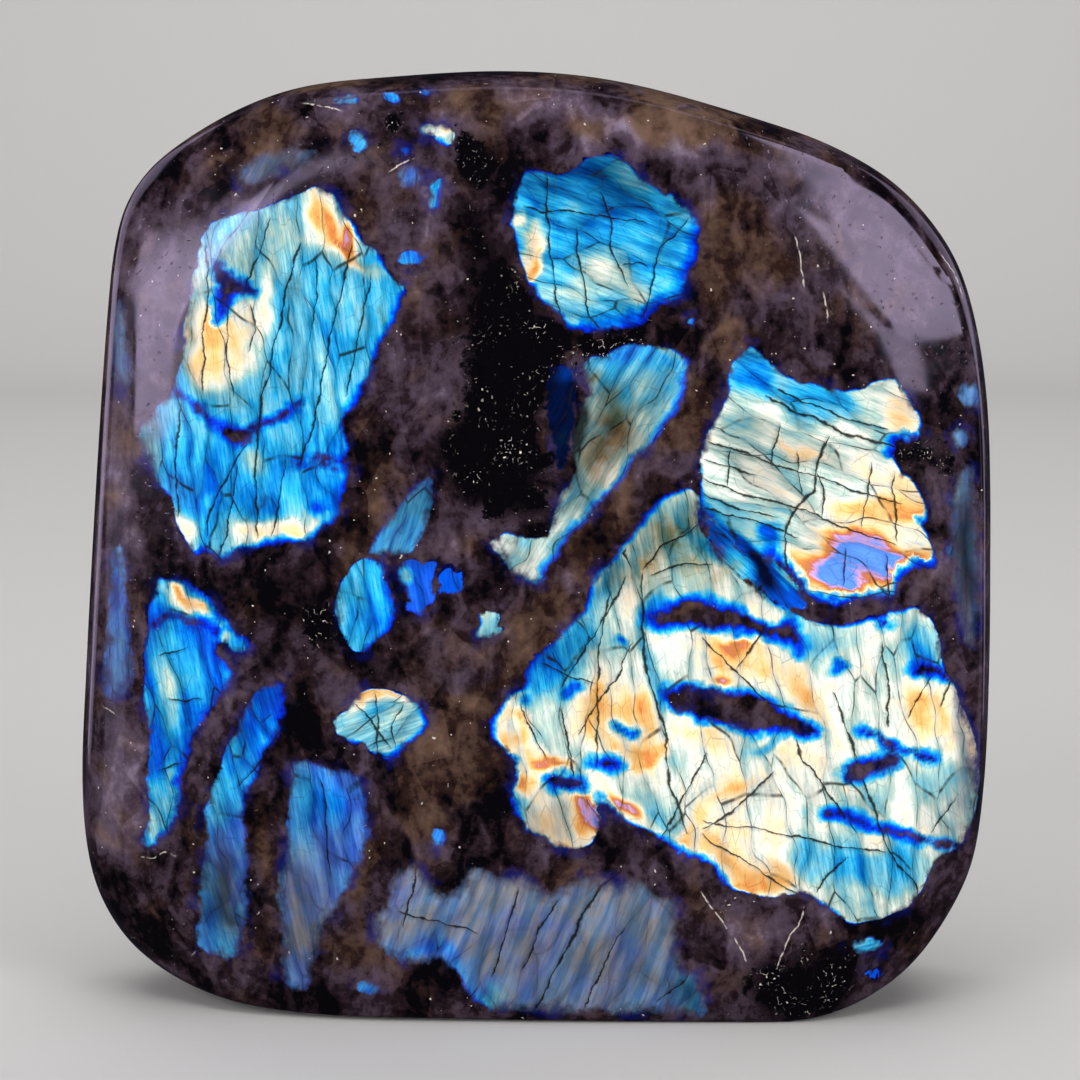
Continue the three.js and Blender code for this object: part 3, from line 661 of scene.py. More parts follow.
def make_stone():
    net = welded_net()
    coarse = bpy.data.meshes.new("coarse")
    net.to_mesh(coarse)
    net.free()
    mesh = finished_mesh("polished_stone", coarse, stone_settings().levels)
    refine_show_face(mesh)
    stone = bpy.data.objects.new("polished_stone", mesh)
    bpy.context.scene.collection.objects.link(stone)
    return stone


# Markings, as values on the points of the net

def view_axes():
    """The drawing camera's place and its right, up and forward directions."""
    turn = VIEW_ELEVATION
    forward = np.array((0.0, math.cos(turn), -math.sin(turn)))
    up = np.array((0.0, math.sin(turn), math.cos(turn)))
    place = np.array(VIEW_TARGET) - VIEW_DISTANCE * forward
    return place, np.array((1.0, 0.0, 0.0)), up, forward


def drawing_places(points):
    """Where points of the stone lie in the drawing of the show face."""
    place, right, up, forward = view_axes()
    away = points - place
    reach = VIEW_SIZE * LENS_MM / SENSOR_MM / (away @ forward)
    across = VIEW_SIZE / 2 + reach * (away @ right)
    down = VIEW_SIZE / 2 - reach * (away @ up)
    return np.column_stack((across, down))


def line_distance(places, line):
    """Distance to a line of straight stretches, with its sign by side, the way along it and the
    direction from its nearest point."""
    corners = np.array(line, float)
    best = np.full(len(places), np.inf)
    side = np.zeros(len(places))
    along = np.zeros(len(places))
    towards = np.zeros_like(places)
    travelled = 0.0
    for start, end in zip(corners[:-1], corners[1:]):
        stretch = end - start
        length = math.hypot(*stretch)
        offset = places - start
        share = np.clip(offset @ stretch / length**2, 0, 1)
        gap = offset - share[:, None] * stretch
        distance = np.hypot(gap[:, 0], gap[:, 1])
        nearer = distance < best
        best[nearer] = distance[nearer]
        cross = (stretch[0] * offset[:, 1] - stretch[1] * offset[:, 0]) / length
        side[nearer] = cross[nearer]
        along[nearer] = travelled + share[nearer] * length
        towards[nearer] = gap[nearer]
        travelled += length
    return best, side, along, towards, travelled


def inside(places, outline):
    """Which places lie inside a closed outline, by counting crossings."""
    corners = np.array(outline, float)
    within = np.zeros(len(places), bool)
    x = places[:, 0]
    y = places[:, 1]
    for (x0, y0), (x1, y1) in zip(corners, np.roll(corners, -1, axis=0)):
        if y0 == y1:
            continue
        spans = (y0 > y) != (y1 > y)
        within ^= spans & (x < (x1 - x0) * (y - y0) / (y1 - y0) + x0)
    return within


CORNER_CUT = 0.25  # share of each side that is cut off at both of its ends


def rounded(outline):
    """A closed outline with its corners cut, twice over."""
    corners = np.array(outline, float)
    for _ in range(2):
        following = np.roll(corners, -1, axis=0)
        near = (1 - CORNER_CUT) * corners + CORNER_CUT * following
        far = CORNER_CUT * corners + (1 - CORNER_CUT) * following
        corners = np.stack((near, far), axis=1).reshape(-1, 2)
    return corners


OUTLINE_MARGIN = 5.0  # mm outside an outline up to which places are measured


def outline_depth(places, outline, margin):
    """How far inside a closed outline each place is (negative outside), and the way out. Places
    further off than margin aren't measured."""
    smooth = rounded(outline)
    depth = np.full(len(places), -np.inf)
    outward = np.zeros_like(places)
    beyond = (places < smooth.min(axis=0) - margin) | (places > smooth.max(axis=0) + margin)
    close = ~np.any(beyond, axis=1)
    if not close.any():
        return depth, outward
    near = places[close]
    distance, _, _, gap, _ = line_distance(near, np.vstack((smooth, smooth[:1])))
    within = inside(near, smooth)
    way = np.where(within[:, None], -gap, gap)
    size = np.maximum(np.hypot(way[:, 0], way[:, 1]), 1e-9)
    depth[close] = np.where(within, distance, -distance)
    outward[close] = way / size[:, None]
    return depth, outward


OCTAVES = 3
WAVES_PER_OCTAVE = 5
WAVE_LENGTHS = (0.7, 1.4)  # shortest and longest, as a share of their octave's length


def swayed(places, size, reach, seed):
    """Places pushed about by smooth waves, so that what is drawn through them gets an uneven edge.
    size is the length of the longest waves and reach is how far they push."""
    chance = np.random.default_rng(seed)
    moved = places.copy()
    for octave in range(OCTAVES):
        for _ in range(WAVES_PER_OCTAVE):
            turn, phase, heading = chance.uniform(0, 2 * math.pi, 3)
            length = size * chance.uniform(*WAVE_LENGTHS) / 2**octave
            wave = np.array((math.cos(turn), math.sin(turn))) * 2 * math.pi / length
            push = reach * 0.5 / 2**octave * np.array((math.cos(heading), math.sin(heading)))
            moved += np.sin(places @ wave + phase)[:, None] * push
    return moved


SPOT_FALL = 1.1  # how steeply a spot's weight falls from its centre


def spot_weight(places, spot):
    """A soft round weight, 1 at a spot's centre and falling to 0 about twice its size away."""
    turn = math.radians(-spot.turn)
    offset = places - np.array((spot.x, spot.y), float)
    along = offset[:, 0] * math.cos(turn) + offset[:, 1] * math.sin(turn)
    across = offset[:, 1] * math.cos(turn) - offset[:, 0] * math.sin(turn)
    return np.exp(-((along / spot.long) ** 2 + (across / spot.wide) ** 2) * SPOT_FALL)


def cloud_field(places, clouds):
    total = np.zeros(len(places))
    for cloud in clouds:
        total = np.maximum(total, cloud.amount * spot_weight(places, cloud))
    return total


ISLAND_RIM = 1.5  # mm of blue round a dark island, and how much of it lies inside the outline
ISLAND_RIM_INSIDE = 0.75
SEAM_RIM = 1.2
SEAM_RIM_INSIDE = 0.45
# Drawing units: the length of the waves that push outlines about and how far they push, and the same
# for soft spots
EDGE_WAVE = 44
EDGE_SWAY = 1.6
SPOT_WAVE = 90
SPOT_SWAY = 9.0
ROCK_WAVE = 110  # for the clouds of the dark stone and the inclusion, which are pushed as far as spots
THINNEST_RIM = 0.15  # share of a patch's rim width that it has all round
FULL_RIM = 0.95  # share that is added where the rim is widest
RIM_GAIN = 0.9  # how fast that share grows with facing the widest way, and what it is sideways to it
RIM_SIDEWAYS = 0.2
NO_PATCH = -1e3  # mm of depth where there is no patch near
SPOT_SPREAD = 1.4  # a spot keeps its full strength where its weight times this is over 1
DEEPEST_DIM = 0.96
DRIFT_WAVE = 30  # mm, for the drifts of tone round the sides and on the back


def flash_fields(places, patches, units, islands=(), seams=(), spots=(), hazes=(), dims=(), stains=()):
    """Depth inside the nearest patch in mm, share of its rim, colour, haze, dimness, lie of its layers
    and stain."""
    count = len(places)
    depth = np.full(count, NO_PATCH)
    rim = np.zeros(count)
    order = np.zeros(count)
    haze = np.zeros(count)
    grain = np.zeros(count)
    # A drawing's y runs down and the back's z runs up, so the way out is turned to suit.
    flip = -1 if units > 1 else 1
    margin = OUTLINE_MARGIN * units
    scale = units / UNITS_PER_MM
    edges = swayed(places, EDGE_WAVE * scale, EDGE_SWAY * scale, seed=3)
    soft = swayed(places, SPOT_WAVE * scale, SPOT_SWAY * scale, seed=4)
    for patch in patches:
        inner, outward = outline_depth(edges, patch.outline, margin)
        inner = inner / units
        nearer = inner > depth
        widest = math.radians(patch.rim_towards)
        facing = outward[:, 0] * math.cos(widest) + flip * outward[:, 1] * math.sin(widest)
        width = patch.rim * (THINNEST_RIM + FULL_RIM * np.clip(facing * RIM_GAIN + RIM_SIDEWAYS, 0, 1))
        depth[nearer] = inner[nearer]
        rim[nearer] = (inner / width)[nearer]
        order[nearer] = patch.order
        haze[nearer] = patch.haze
        grain[nearer] = math.radians(patch.grain)
    for island in islands:
        inner, _ = outline_depth(edges, island, margin)
        outer = -inner / units + ISLAND_RIM_INSIDE
        rim = np.minimum(rim, outer / ISLAND_RIM)
        depth = np.minimum(depth, outer)
    for width, line in seams:
        distance = line_distance(edges, line)[0]
        outer = (distance - width / 2) / units + SEAM_RIM_INSIDE
        rim = np.minimum(rim, outer / SEAM_RIM)
        depth = np.minimum(depth, outer)
    for spot in spots:
        weight = np.clip(spot_weight(soft, spot) * spot.strength * SPOT_SPREAD, 0, spot.strength)
        order += (spot.order - order) * weight
    for cloud in hazes:
        haze += cloud.amount * spot_weight(soft, cloud)
    dim = np.minimum(cloud_field(soft, dims), DEEPEST_DIM)
    return depth, rim, order, np.clip(haze, 0, 1), dim, grain, cloud_field(soft, stains)


CRACK_LAYERS = 4
CRACK_REACH = 1.0  # mm either side of a fracture for which its distance is kept
CRACK_TAPER = 2.5  # mm over which a fracture runs out at its ends
FAR_OFF = 10.0  # mm, for points that nothing of the kind is near
NO_CRACK = (FAR_OFF, 0.0, 0.0)


def crack_layers(places, cracks):
    """Signed distance, presence and half width of the fractures, shared out over a few layers so
    that those in one layer keep clear of each other."""
    layers = [np.tile(NO_CRACK, (len(places), 1)) for _ in range(CRACK_LAYERS)]
    nearest = [np.full(len(places), np.inf) for _ in range(CRACK_LAYERS)]
    for half_width, line in cracks:
        distance, side, along, _, length = line_distance(places, line)
        distance = distance / UNITS_PER_MM
        close = distance < CRACK_REACH
        if not close.any():
            continue
        busy = [np.count_nonzero(near[close] < CRACK_REACH) for near in nearest]
        chosen = busy.index(min(busy))
        ends = np.minimum(along, length - along) / UNITS_PER_MM
        width = half_width * np.clip(ends / CRACK_TAPER, 0, 1) ** 0.5
        present = (distance < CRACK_REACH) & (distance < nearest[chosen])
        layer = layers[chosen]
        layer[present, 0] = side[present] / UNITS_PER_MM
        layer[present, 1] = 1.0
        layer[present, 2] = width[present]
        nearest[chosen] = np.minimum(nearest[chosen], distance)
    return layers


def soft_step(values, low, high):
    share = np.clip((values - low) / (high - low), 0, 1)
    return share * share * (3 - 2 * share)


def keep_vectors(mesh, name, columns):
    """Stores three numbers a point under one name, for the material to read."""
    attribute = mesh.attributes.new(name, "FLOAT_VECTOR", "POINT")
    attribute.data.foreach_set("vector", np.column_stack(columns).astype(np.float32).ravel())


def mesh_points(mesh):
    count = len(mesh.vertices)
    points = np.empty(count * 3, np.float32)
    normals = np.empty(count * 3, np.float32)
    mesh.vertices.foreach_get("co", points)
    mesh.vertices.foreach_get("normal", normals)
    return points.reshape(-1, 3).astype(float), normals.reshape(-1, 3).astype(float)


# How squarely a face has to look to the front or the back: for the flash to begin and to show in full,
# and for the drawn clouds of the dark stone
FRONT_FLASH = (0.3, 0.75)
BACK_FLASH = (0.6, 0.9)
FRONT_CLOUDS = (0.1, 0.5)
# Drifts of shade, lilac and brown: their level, how far a wave moves it, and which wave
DRIFTS = ((0.3, -0.8, 0), (0.15, 0.8, 0), (0.35, 0.8, 1))


def mark_stone(mesh):
    """Works out the markings of the whole stone, and keeps them on its points."""
    points, normals = mesh_points(mesh)
    count = len(points)
    shown = normals[:, 1] < 0
    places = drawing_places(points)
    show = flash_fields(places[shown], SHOW_FACE_PATCHES, UNITS_PER_MM, ISLANDS, SEAMS, SPOTS, HAZES,
                        DIMS, STAINS)
    flat = points[:, (0, 2)] / MM
    back = flash_fields(flat[~shown], BACK_PATCHES, 1, spots=BACK_SPOTS)
    fields = []
    for front_values, back_values in zip(show, back):
        values = np.empty(count)
        values[shown] = front_values
        values[~shown] = back_values
        fields.append(values)
    depth, rim, order, haze, dim, grain, stain = fields
    # The flash shows on faces along the layers, and dies away round the edges of the stone.
    facing = -normals[:, 1]
    strength = np.where(shown, soft_step(facing, *FRONT_FLASH), soft_step(-facing, *BACK_FLASH))
    keep_vectors(mesh, "flash", (depth, rim, strength))
    keep_vectors(mesh, "tint", (order, haze, dim))
    keep_vectors(mesh, "grain", (np.cos(grain), np.sin(grain), stain))
    front = soft_step(facing, *FRONT_CLOUDS)
    soft = swayed(places, ROCK_WAVE, SPOT_SWAY, seed=5)
    # The first of these values is painted shade as well as the stone's darker tone.
    dark = [cloud_field(soft, clouds) * front for clouds in (DARKER_TONE_AND_PAINTED_SHADE, MAUVE_TONE_AND_PAINTED_RIM_HIGHLIGHTS, BROWN_CLOUDS)]
    # Round the sides and on the back the dark stone changes in broad drifts of its own.
    waves = (swayed(flat, DRIFT_WAVE, 1.0, seed=11) - flat).T
    for cloud, (level, swing, wave) in zip(dark, DRIFTS):
        cloud += np.clip(level + swing * waves[wave], 0, 1) * (1 - front)
    keep_vectors(mesh, "dark_stone", dark)
    inclusion = np.full(count, -FAR_OFF)
    for outline in INCLUSIONS:
        inner = outline_depth(soft, outline, OUTLINE_MARGIN * UNITS_PER_MM)[0] / UNITS_PER_MM
        inclusion = np.maximum(inclusion, np.where(shown, inner, -FAR_OFF))
    keep_vectors(mesh, "inclusion", (inclusion, np.zeros(count), np.zeros(count)))
    for number, layer in enumerate(crack_layers(places, CRACKS)):
        layer[~shown] = NO_CRACK
        keep_vectors(mesh, f"crack_{number}", layer.T)
    pale = crack_layers(places, PALE_HAIRLINES_AND_PAINTED_HIGHLIGHTS)[0]
    pale[~shown] = NO_CRACK
    keep_vectors(mesh, "hairline", pale.T)


# Material

# A chance pattern: its swings per mm, how many finer layers are added and how rough they are, how far it
# is folded into itself, and how each axis is stretched first.
Pattern = namedtuple("Pattern", "scale detail roughness fold stretch", defaults=(0.5, 0.0, None))

# A soft change: where it begins and ends, and what it goes from and to.
Change = namedtuple("Change", "low high start end", defaults=(0.0, 1.0))


class Wires:
    """Short words for the nodes of one material."""

    def __init__(self, material):
        material.use_nodes = True
        self.tree = material.node_tree
        self.tree.nodes.clear()

    def node(self, kind, **settings):
        made = self.tree.nodes.new("ShaderNode" + kind)
        for name, value in settings.items():
            setattr(made, name, value)
        return made

    def put(self, socket, value):
        """Links a socket to another node, or sets its value."""
        if isinstance(value, bpy.types.NodeSocket):
            self.tree.links.new(value, socket)
        elif hasattr(value, "__len__") and len(value) == 3 and socket.type == "RGBA":
            socket.default_value = (*value, 1.0)
        else:
            socket.default_value = value

    def finish(self, surface):
        output = self.node("OutputMaterial")
        self.put(output.inputs["Surface"], surface)

    def attribute(self, name):
        """The three numbers kept on the points under a name."""
        read = self.node("Attribute", attribute_type="GEOMETRY", attribute_name=name)
        return self.split(read.outputs["Vector"])

    def split(self, vector):
        made = self.node("SeparateXYZ")
        self.put(made.inputs[0], vector)
        return made.outputs[0], made.outputs[1], made.outputs[2]

    def joined(self, *parts):
        made = self.node("CombineXYZ")
        for socket, part in zip(made.inputs, parts):
            self.put(socket, part)
        return made.outputs[0]

    def math(self, operation, first, second=None, clamp=False):
        made = self.node("Math", operation=operation, use_clamp=clamp)
        for socket, value in zip(made.inputs, (first, second)):
            if value is not None:
                self.put(socket, value)
        return made.outputs[0]

    def added(self, *values):
        total = values[0]
        for value in values[1:]:
            total = self.math("ADD", total, value)
        return total

    def multiplied(self, *values):
        total = values[0]
        for value in values[1:]:
            total = self.math("MULTIPLY", total, value)
        return total

    def greatest(self, first, second):
        return self.math("MAXIMUM", first, second)

    def centred(self, noise, amount):
        """A noise value made to swing by amount either side of nothing."""
        return self.math("MULTIPLY", self.math("SUBTRACT", noise, 0.5), 2 * amount)

    def step(self, value, change, start=None, end=None):
        """A soft change. What it goes from and to may come from other nodes."""
        made = self.node("MapRange", interpolation_type="SMOOTHSTEP")
        start = change.start if start is None else start
        end = change.end if end is None else end
        for socket, given in zip(made.inputs, (value, change.low, change.high, start, end)):
            self.put(socket, given)
        return made.outputs[0]

    def mix(self, amount, first, second, blend_type="MIX"):
        """One colour laid over another."""
        made = self.node("Mix", data_type="RGBA", blend_type=blend_type, clamp_factor=True)
        self.put(made.inputs[0], amount)
        self.put(made.inputs[6], first)
        self.put(made.inputs[7], second)
        return made.outputs[2]

    def vectors(self, operation, first, second):
        made = self.node("VectorMath", operation=operation)
        self.put(made.inputs[0], first)
        self.put(made.inputs[1], second)
        return made.outputs[0]

    def noise(self, place, pattern, output=0):
        if pattern.stretch:
            place = self.vectors("MULTIPLY", place, pattern.stretch)
        made = self.node("TexNoise", noise_dimensions="3D")
        self.put(made.inputs["Vector"], place)
        self.put(made.inputs["Scale"], pattern.scale)
        self.put(made.inputs["Detail"], pattern.detail)
        self.put(made.inputs["Roughness"], pattern.roughness)
        self.put(made.inputs["Distortion"], pattern.fold)
        return made.outputs[output]

    def walls(self, place, scale):
        """Distance to the nearest wall in a flat net of cells."""
        made = self.node("TexVoronoi", feature="DISTANCE_TO_EDGE", voronoi_dimensions="2D")
        self.put(made.inputs["Vector"], place)
        self.put(made.inputs["Scale"], scale)
        return made.outputs[0]

    def rooms(self, place, scale, dimensions="2D"):
        """Two chance levels for each cell of the same net, or of a foam."""
        made = self.node("TexVoronoi", feature="F1", voronoi_dimensions=dimensions)
        self.put(made.inputs["Vector"], place)
        self.put(made.inputs["Scale"], scale)
        first, second, _ = self.split(made.outputs["Color"])
        return first, second

    def ramp(self, value, stops):
        made = self.node("ValToRGB")
        band = made.color_ramp
        while len(band.elements) < len(stops):
            band.elements.new(1.0)
        for element, (place, shade) in zip(band.elements, stops):
            element.position = place
            element.color = (*shade, 1.0)
        self.put(made.inputs[0], value)
        return made.outputs[0]


def along_layers(wires, place):
    """Coordinates that run along the layers of each patch, across them and into the stone."""
    cosine, sine, _ = wires.attribute("grain")
    x, y, z = wires.split(place)
    along = wires.math("ADD", wires.math("MULTIPLY", x, cosine), wires.math("MULTIPLY", z, sine))
    across = wires.math("SUBTRACT", wires.math("MULTIPLY", z, cosine), wires.math("MULTIPLY", x, sine))
    return wires.joined(along, across, y)


def flattened(wires, place):
    """The place as the show face has it, across and up."""
    x, _, z = wires.split(place)
    return wires.joined(x, z)


def grey(wires, level):
    joined = wires.node("CombineColor")
    for socket in joined.inputs:
        wires.put(socket, level)
    return joined.outputs[0]


def bending(wires, place, pattern, amount):
    """A push in a chance direction that changes smoothly from place to place."""
    bent = wires.node("VectorMath", operation="SCALE")
    wires.put(bent.inputs[0], wires.noise(place, pattern, "Color"))
    bent.inputs["Scale"].default_value = amount
    return bent.outputs[0]


# The dark stone: patterns of its tone, from the broadest to the finest, with how far each one swings
# it, and how far the drawn clouds shift it
PLAIN_TONE = 0.25
SWELL = Pattern(0.085, 2.0, 0.5, 1.2)
SWELL_SWING = 0.42
MOTTLE = Pattern(0.27, 2.0, 0.5, 1.0, (1.0, 1.0, 0.7))
MOTTLE_SWING = 0.54
GRIT = Pattern(1.0, 3.0, 0.65)
GRIT_SWING = 0.34
FLAKE_STRETCH = (1.0, 0.6, 0.62)
FLAKE_SCALE = 0.24
FLAKE_SWING = 0.09
# Raises the tone where the lilac clouds lie, painted rim highlights among them.
MAUVE_SHIFT = 0.38
BROWN_SHIFT = 0.16
# Lowers the tone where the first clouds lie, painted shade among them.
SHADE_SHIFT = -0.26
TONE_SHIFT = -0.02
# Where it turns from cold mauve to warm brown
WARMTH = Pattern(0.16, 1.0)
PLAIN_WARMTH = 0.2
FLAKE_WARMTH = 0.08
TURNING_WARM = Change(0.1, 0.75)
# Painted glints: pale specks that stand in for tiny flakes catching the light.
PAINTED_GLINTS = Pattern(2.1, 0.0)
GLINT_SIZE = Change(0.835, 0.89, 0.0, 0.7)
# How the inclusion's outline is broken up
RAGGED_BY_MOTTLE = 3.6
RAGGED_BY_GRIT = 3.0
INCLUSION_EDGE = Change(-1.0, 0.9)


def dark_stone(wires, place, colours):
    """Colour of the stone between the patches, with painted shade, painted rim highlights and painted
    glints in it, and where the black inclusion is.
    """
    darker_and_shaded, mauve, brown = wires.attribute("dark_stone")
    inner, _, _ = wires.attribute("inclusion")
    swell = wires.noise(place, SWELL)
    mottle = wires.noise(place, MOTTLE)
    grit = wires.noise(place, GRIT)
    flake, other = wires.rooms(wires.vectors("MULTIPLY", place, FLAKE_STRETCH), FLAKE_SCALE, "3D")
    tone = wires.added(
        PLAIN_TONE, wires.centred(swell, SWELL_SWING), wires.centred(mottle, MOTTLE_SWING),
        wires.centred(grit, GRIT_SWING), wires.centred(flake, FLAKE_SWING),
        wires.math("MULTIPLY", mauve, MAUVE_SHIFT), wires.math("MULTIPLY", brown, BROWN_SHIFT),
        wires.math("MULTIPLY", darker_and_shaded, SHADE_SHIFT))
    tone = wires.math("ADD", tone, TONE_SHIFT, clamp=True)
    cold = wires.ramp(tone, ((0.0, colours.black), (0.2, colours.dark), (0.6, colours.mauve),
                             (1.0, colours.pale_mauve)))
    warm = wires.ramp(tone, ((0.0, colours.black), (0.25, colours.dark_brown), (0.8, colours.brown)))
    warmth = wires.added(brown, PLAIN_WARMTH, wires.centred(wires.noise(place, WARMTH), 1.0),
                         wires.centred(other, FLAKE_WARMTH))
    shade = wires.mix(wires.step(warmth, TURNING_WARM), cold, warm)
    painted_glint = wires.step(wires.noise(place, PAINTED_GLINTS), GLINT_SIZE)
    edge = wires.added(inner, wires.centred(mottle, RAGGED_BY_MOTTLE), wires.centred(grit, RAGGED_BY_GRIT))
    return wires.mix(painted_glint, shade, colours.sparkle), wires.step(edge, INCLUSION_EDGE)


# The inclusion: branching lines of tiny crystals that come in clumps, and single grains
TWIG_BEND = Pattern(0.9, 1.0)
TWIG_BEND_REACH = 1.1
TWIG_SCALE = 0.95
TWIG_LINE = Change(0.012, 0.05, 1.0, 0.0)
TWIG_BREAKS = Pattern(1.7, 2.0, 0.7)
TWIG_LENGTH = Change(0.54, 0.64)
TWIG_STRENGTH = 0.85
CLUMPS = Pattern(0.24, 2.0, 0.6)
CLUMP_SIZE = Change(0.46, 0.64)
GRAINS = Pattern(2.3, 0.0)
GRAIN_SIZE = Change(0.78, 0.86, 0.0, 0.9)
GRAINS_OUTSIDE_CLUMPS = Change(0.0, 1.0, 0.3, 1.0)


def inclusion_colour(wires, place, colours):
    """Black, with tiny pale crystals in clumps along branching lines."""
    strewn = wires.vectors("ADD", place, bending(wires, place, TWIG_BEND, TWIG_BEND_REACH))
    veins = wires.walls(flattened(wires, strewn), TWIG_SCALE)
    clumps = wires.step(wires.noise(place, CLUMPS), CLUMP_SIZE)
    broken = wires.step(wires.noise(place, TWIG_BREAKS), TWIG_LENGTH)
    twigs = wires.multiplied(wires.step(veins, TWIG_LINE), broken,
                             wires.math("MULTIPLY", clumps, TWIG_STRENGTH))
    grains = wires.multiplied(wires.step(wires.noise(place, GRAINS), GRAIN_SIZE),
                              wires.step(clumps, GRAINS_OUTSIDE_CLUMPS))
    return wires.mix(wires.greatest(twigs, grains), colours.black, colours.sparkle)


# The drawn fractures, in mm: how they wobble and wear, how soft their edges are, and the shade beside
# them
SHORT_WOBBLE = Pattern(0.9, 2.0, 0.6)
SHORT_WOBBLE_REACH = 0.34
LONG_WOBBLE = Pattern(0.22, 1.0)
LONG_WOBBLE_REACH = 0.7
WEAR = Pattern(0.6, 1.0)
WORN_WIDTH = Change(0.3, 0.7, 0.25, 1.5)
CRACK_CORE = 0.3
CRACK_SPREAD = 1.1
CRACK_SOFTNESS = 0.075
CRACK_PRESENT = Change(0.6, 0.95)
CRACK_END = Change(0.02, 0.09)
SHADE_REACH = Change(-0.06, 0.7, 1.0, 0.0)
SHADE_SIDE = Change(-0.12, -0.02)


def fracture_lines(wires, place):
    """Strength of the drawn fractures at a point, and the shade that they throw to one side."""
    wobble = wires.math("ADD", wires.centred(wires.noise(place, SHORT_WOBBLE), SHORT_WOBBLE_REACH),
                        wires.centred(wires.noise(place, LONG_WOBBLE), LONG_WOBBLE_REACH))
    wear = wires.step(wires.noise(place, WEAR), WORN_WIDTH)
    lines = None
    shades = None
    for number in range(CRACK_LAYERS):
        side, present, width = wires.attribute(f"crack_{number}")
        offset = wires.math("ADD", side, wobble)
        worn = wires.math("MULTIPLY", width, wear)
        edge = Change(wires.math("MULTIPLY", worn, CRACK_CORE),
                      wires.math("ADD", wires.math("MULTIPLY", worn, CRACK_SPREAD), CRACK_SOFTNESS),
                      1.0, 0.0)
        kept = wires.math("MULTIPLY", wires.step(present, CRACK_PRESENT), wires.step(width, CRACK_END))
        line = wires.math("MULTIPLY", wires.step(wires.math("ABSOLUTE", offset), edge), kept)
        shade = wires.multiplied(wires.step(offset, SHADE_REACH), wires.step(offset, SHADE_SIDE), kept)
        lines = line if lines is None else wires.greatest(lines, line)
        shades = shade if shades is None else wires.greatest(shades, shade)
    return lines, shades


def flash_colours(colours):
    return (
        (NAVY, colours.navy), (DEEP_BLUE, colours.deep_blue), (AZURE, colours.azure),
        (CYAN, colours.cyan), (AQUA, colours.aqua), (PALE_GREEN, colours.pale_green),
        (WHITE, colours.white), (CREAM, colours.cream), (GOLD, colours.gold),
        (ORANGE, colours.orange), (RUSSET, colours.russet), (ROSE, colours.rose),
        (LILAC, colours.lilac))


# The layers of a patch: a net of long cells, finer splinters, and bands along them
CELL_BEND = Pattern(0.13, 1.0)
CELL_BEND_REACH = 5.0
CELL_STRETCH = (0.28, 1.0, 0.5)
CELL_SCALE = 0.28
NET_LINE = Change(0.006, 0.034, 1.0, 0.0)
CELL_MIDDLE = Change(0.0, 0.3)
SPLINTER_STRETCH = (0.42, 1.0, 0.5)
SPLINTER_SCALE = 0.8
SPLINTER_LINE = Change(0.008, 0.05, 0.36, 0.0)
BANDS = Pattern(0.75, 2.0, 0.6, 0.0, (0.12, 1.0, 0.5))
FINE_BANDS = Pattern(3.4, 2.0, 0.6, 0.0, (0.1, 1.0, 0.5))

Layers = namedtuple("Layers", "crazing middle first second bands fine")


def patch_layers(wires, place):
    """The patterns that follow the lie of a patch's layers."""
    layered = along_layers(wires, place)
    bent = wires.vectors("ADD", layered, bending(wires, place, CELL_BEND, CELL_BEND_REACH))
    cells = wires.vectors("MULTIPLY", bent, CELL_STRETCH)
    walls = wires.walls(cells, CELL_SCALE)
    first, second = wires.rooms(cells, CELL_SCALE)
    splinters = wires.walls(wires.vectors("MULTIPLY", bent, SPLINTER_STRETCH), SPLINTER_SCALE)
    crazing = wires.greatest(wires.step(walls, NET_LINE), wires.step(splinters, SPLINTER_LINE))
    return Layers(crazing, wires.step(walls, CELL_MIDDLE), first, second, wires.noise(layered, BANDS),
                  wires.noise(layered, FINE_BANDS))


# How far each pattern shifts a patch's place on the scale of flash colours
BAND_SWING = 0.13
PALE_BAND_SWING = Change(0.0, 1.0, 1.0, 0.7)
FINE_SWING = 0.06
DRIFT_SWING = 0.14
CELL_SWING = 0.05
SHADE_SWING = -0.03
MIDDLE_SWING = 0.03
# The blue rim: how it is frayed, where it comes and goes, and how haze hides it
RIM_FRAY = 0.55
RIM_LOSS = Change(0.46, 0.62, 0.0, 0.35)
RIM_HAZE = 0.8
RIM_BLUE = 0.12
NAVY_TO_BLUE = Change(-0.15, 0.45, 0.0, RIM_BLUE)
BLUE_TO_PATCH = Change(0.3, 1.35)
THINNEST_LAYERS = 0.14

Edges = namedtuple("Edges", "rim warp wander fray drift")


def layer_hue(wires, layers, edges, order, haze, paler, shades):
    """Where a point of a patch lies on the scale of flash colours."""
    swing = wires.step(paler, PALE_BAND_SWING)
    target = wires.added(
        order, wires.math("MULTIPLY", wires.centred(layers.bands, BAND_SWING), swing),
        wires.centred(layers.fine, FINE_SWING), wires.centred(edges.drift, DRIFT_SWING),
        wires.centred(layers.second, CELL_SWING), wires.math("MULTIPLY", shades, SHADE_SWING),
        wires.centred(layers.middle, MIDDLE_SWING))
    # The blue rims come and go along the edges, and the warp frays them.
    rim = wires.added(edges.rim, wires.math("MULTIPLY", edges.warp, RIM_FRAY),
                      wires.step(edges.drift, RIM_LOSS), wires.math("MULTIPLY", haze, RIM_HAZE))
    # Layers thin out towards the edge of a patch: navy first, then deep blue, then the patch's own.
    start = wires.step(rim, NAVY_TO_BLUE)
    rise = wires.step(rim, BLUE_TO_PATCH)
    beyond = wires.math("SUBTRACT", wires.greatest(target, THINNEST_LAYERS), RIM_BLUE)
    return wires.math("ADD", start, wires.math("MULTIPLY", beyond, rise), clamp=True)


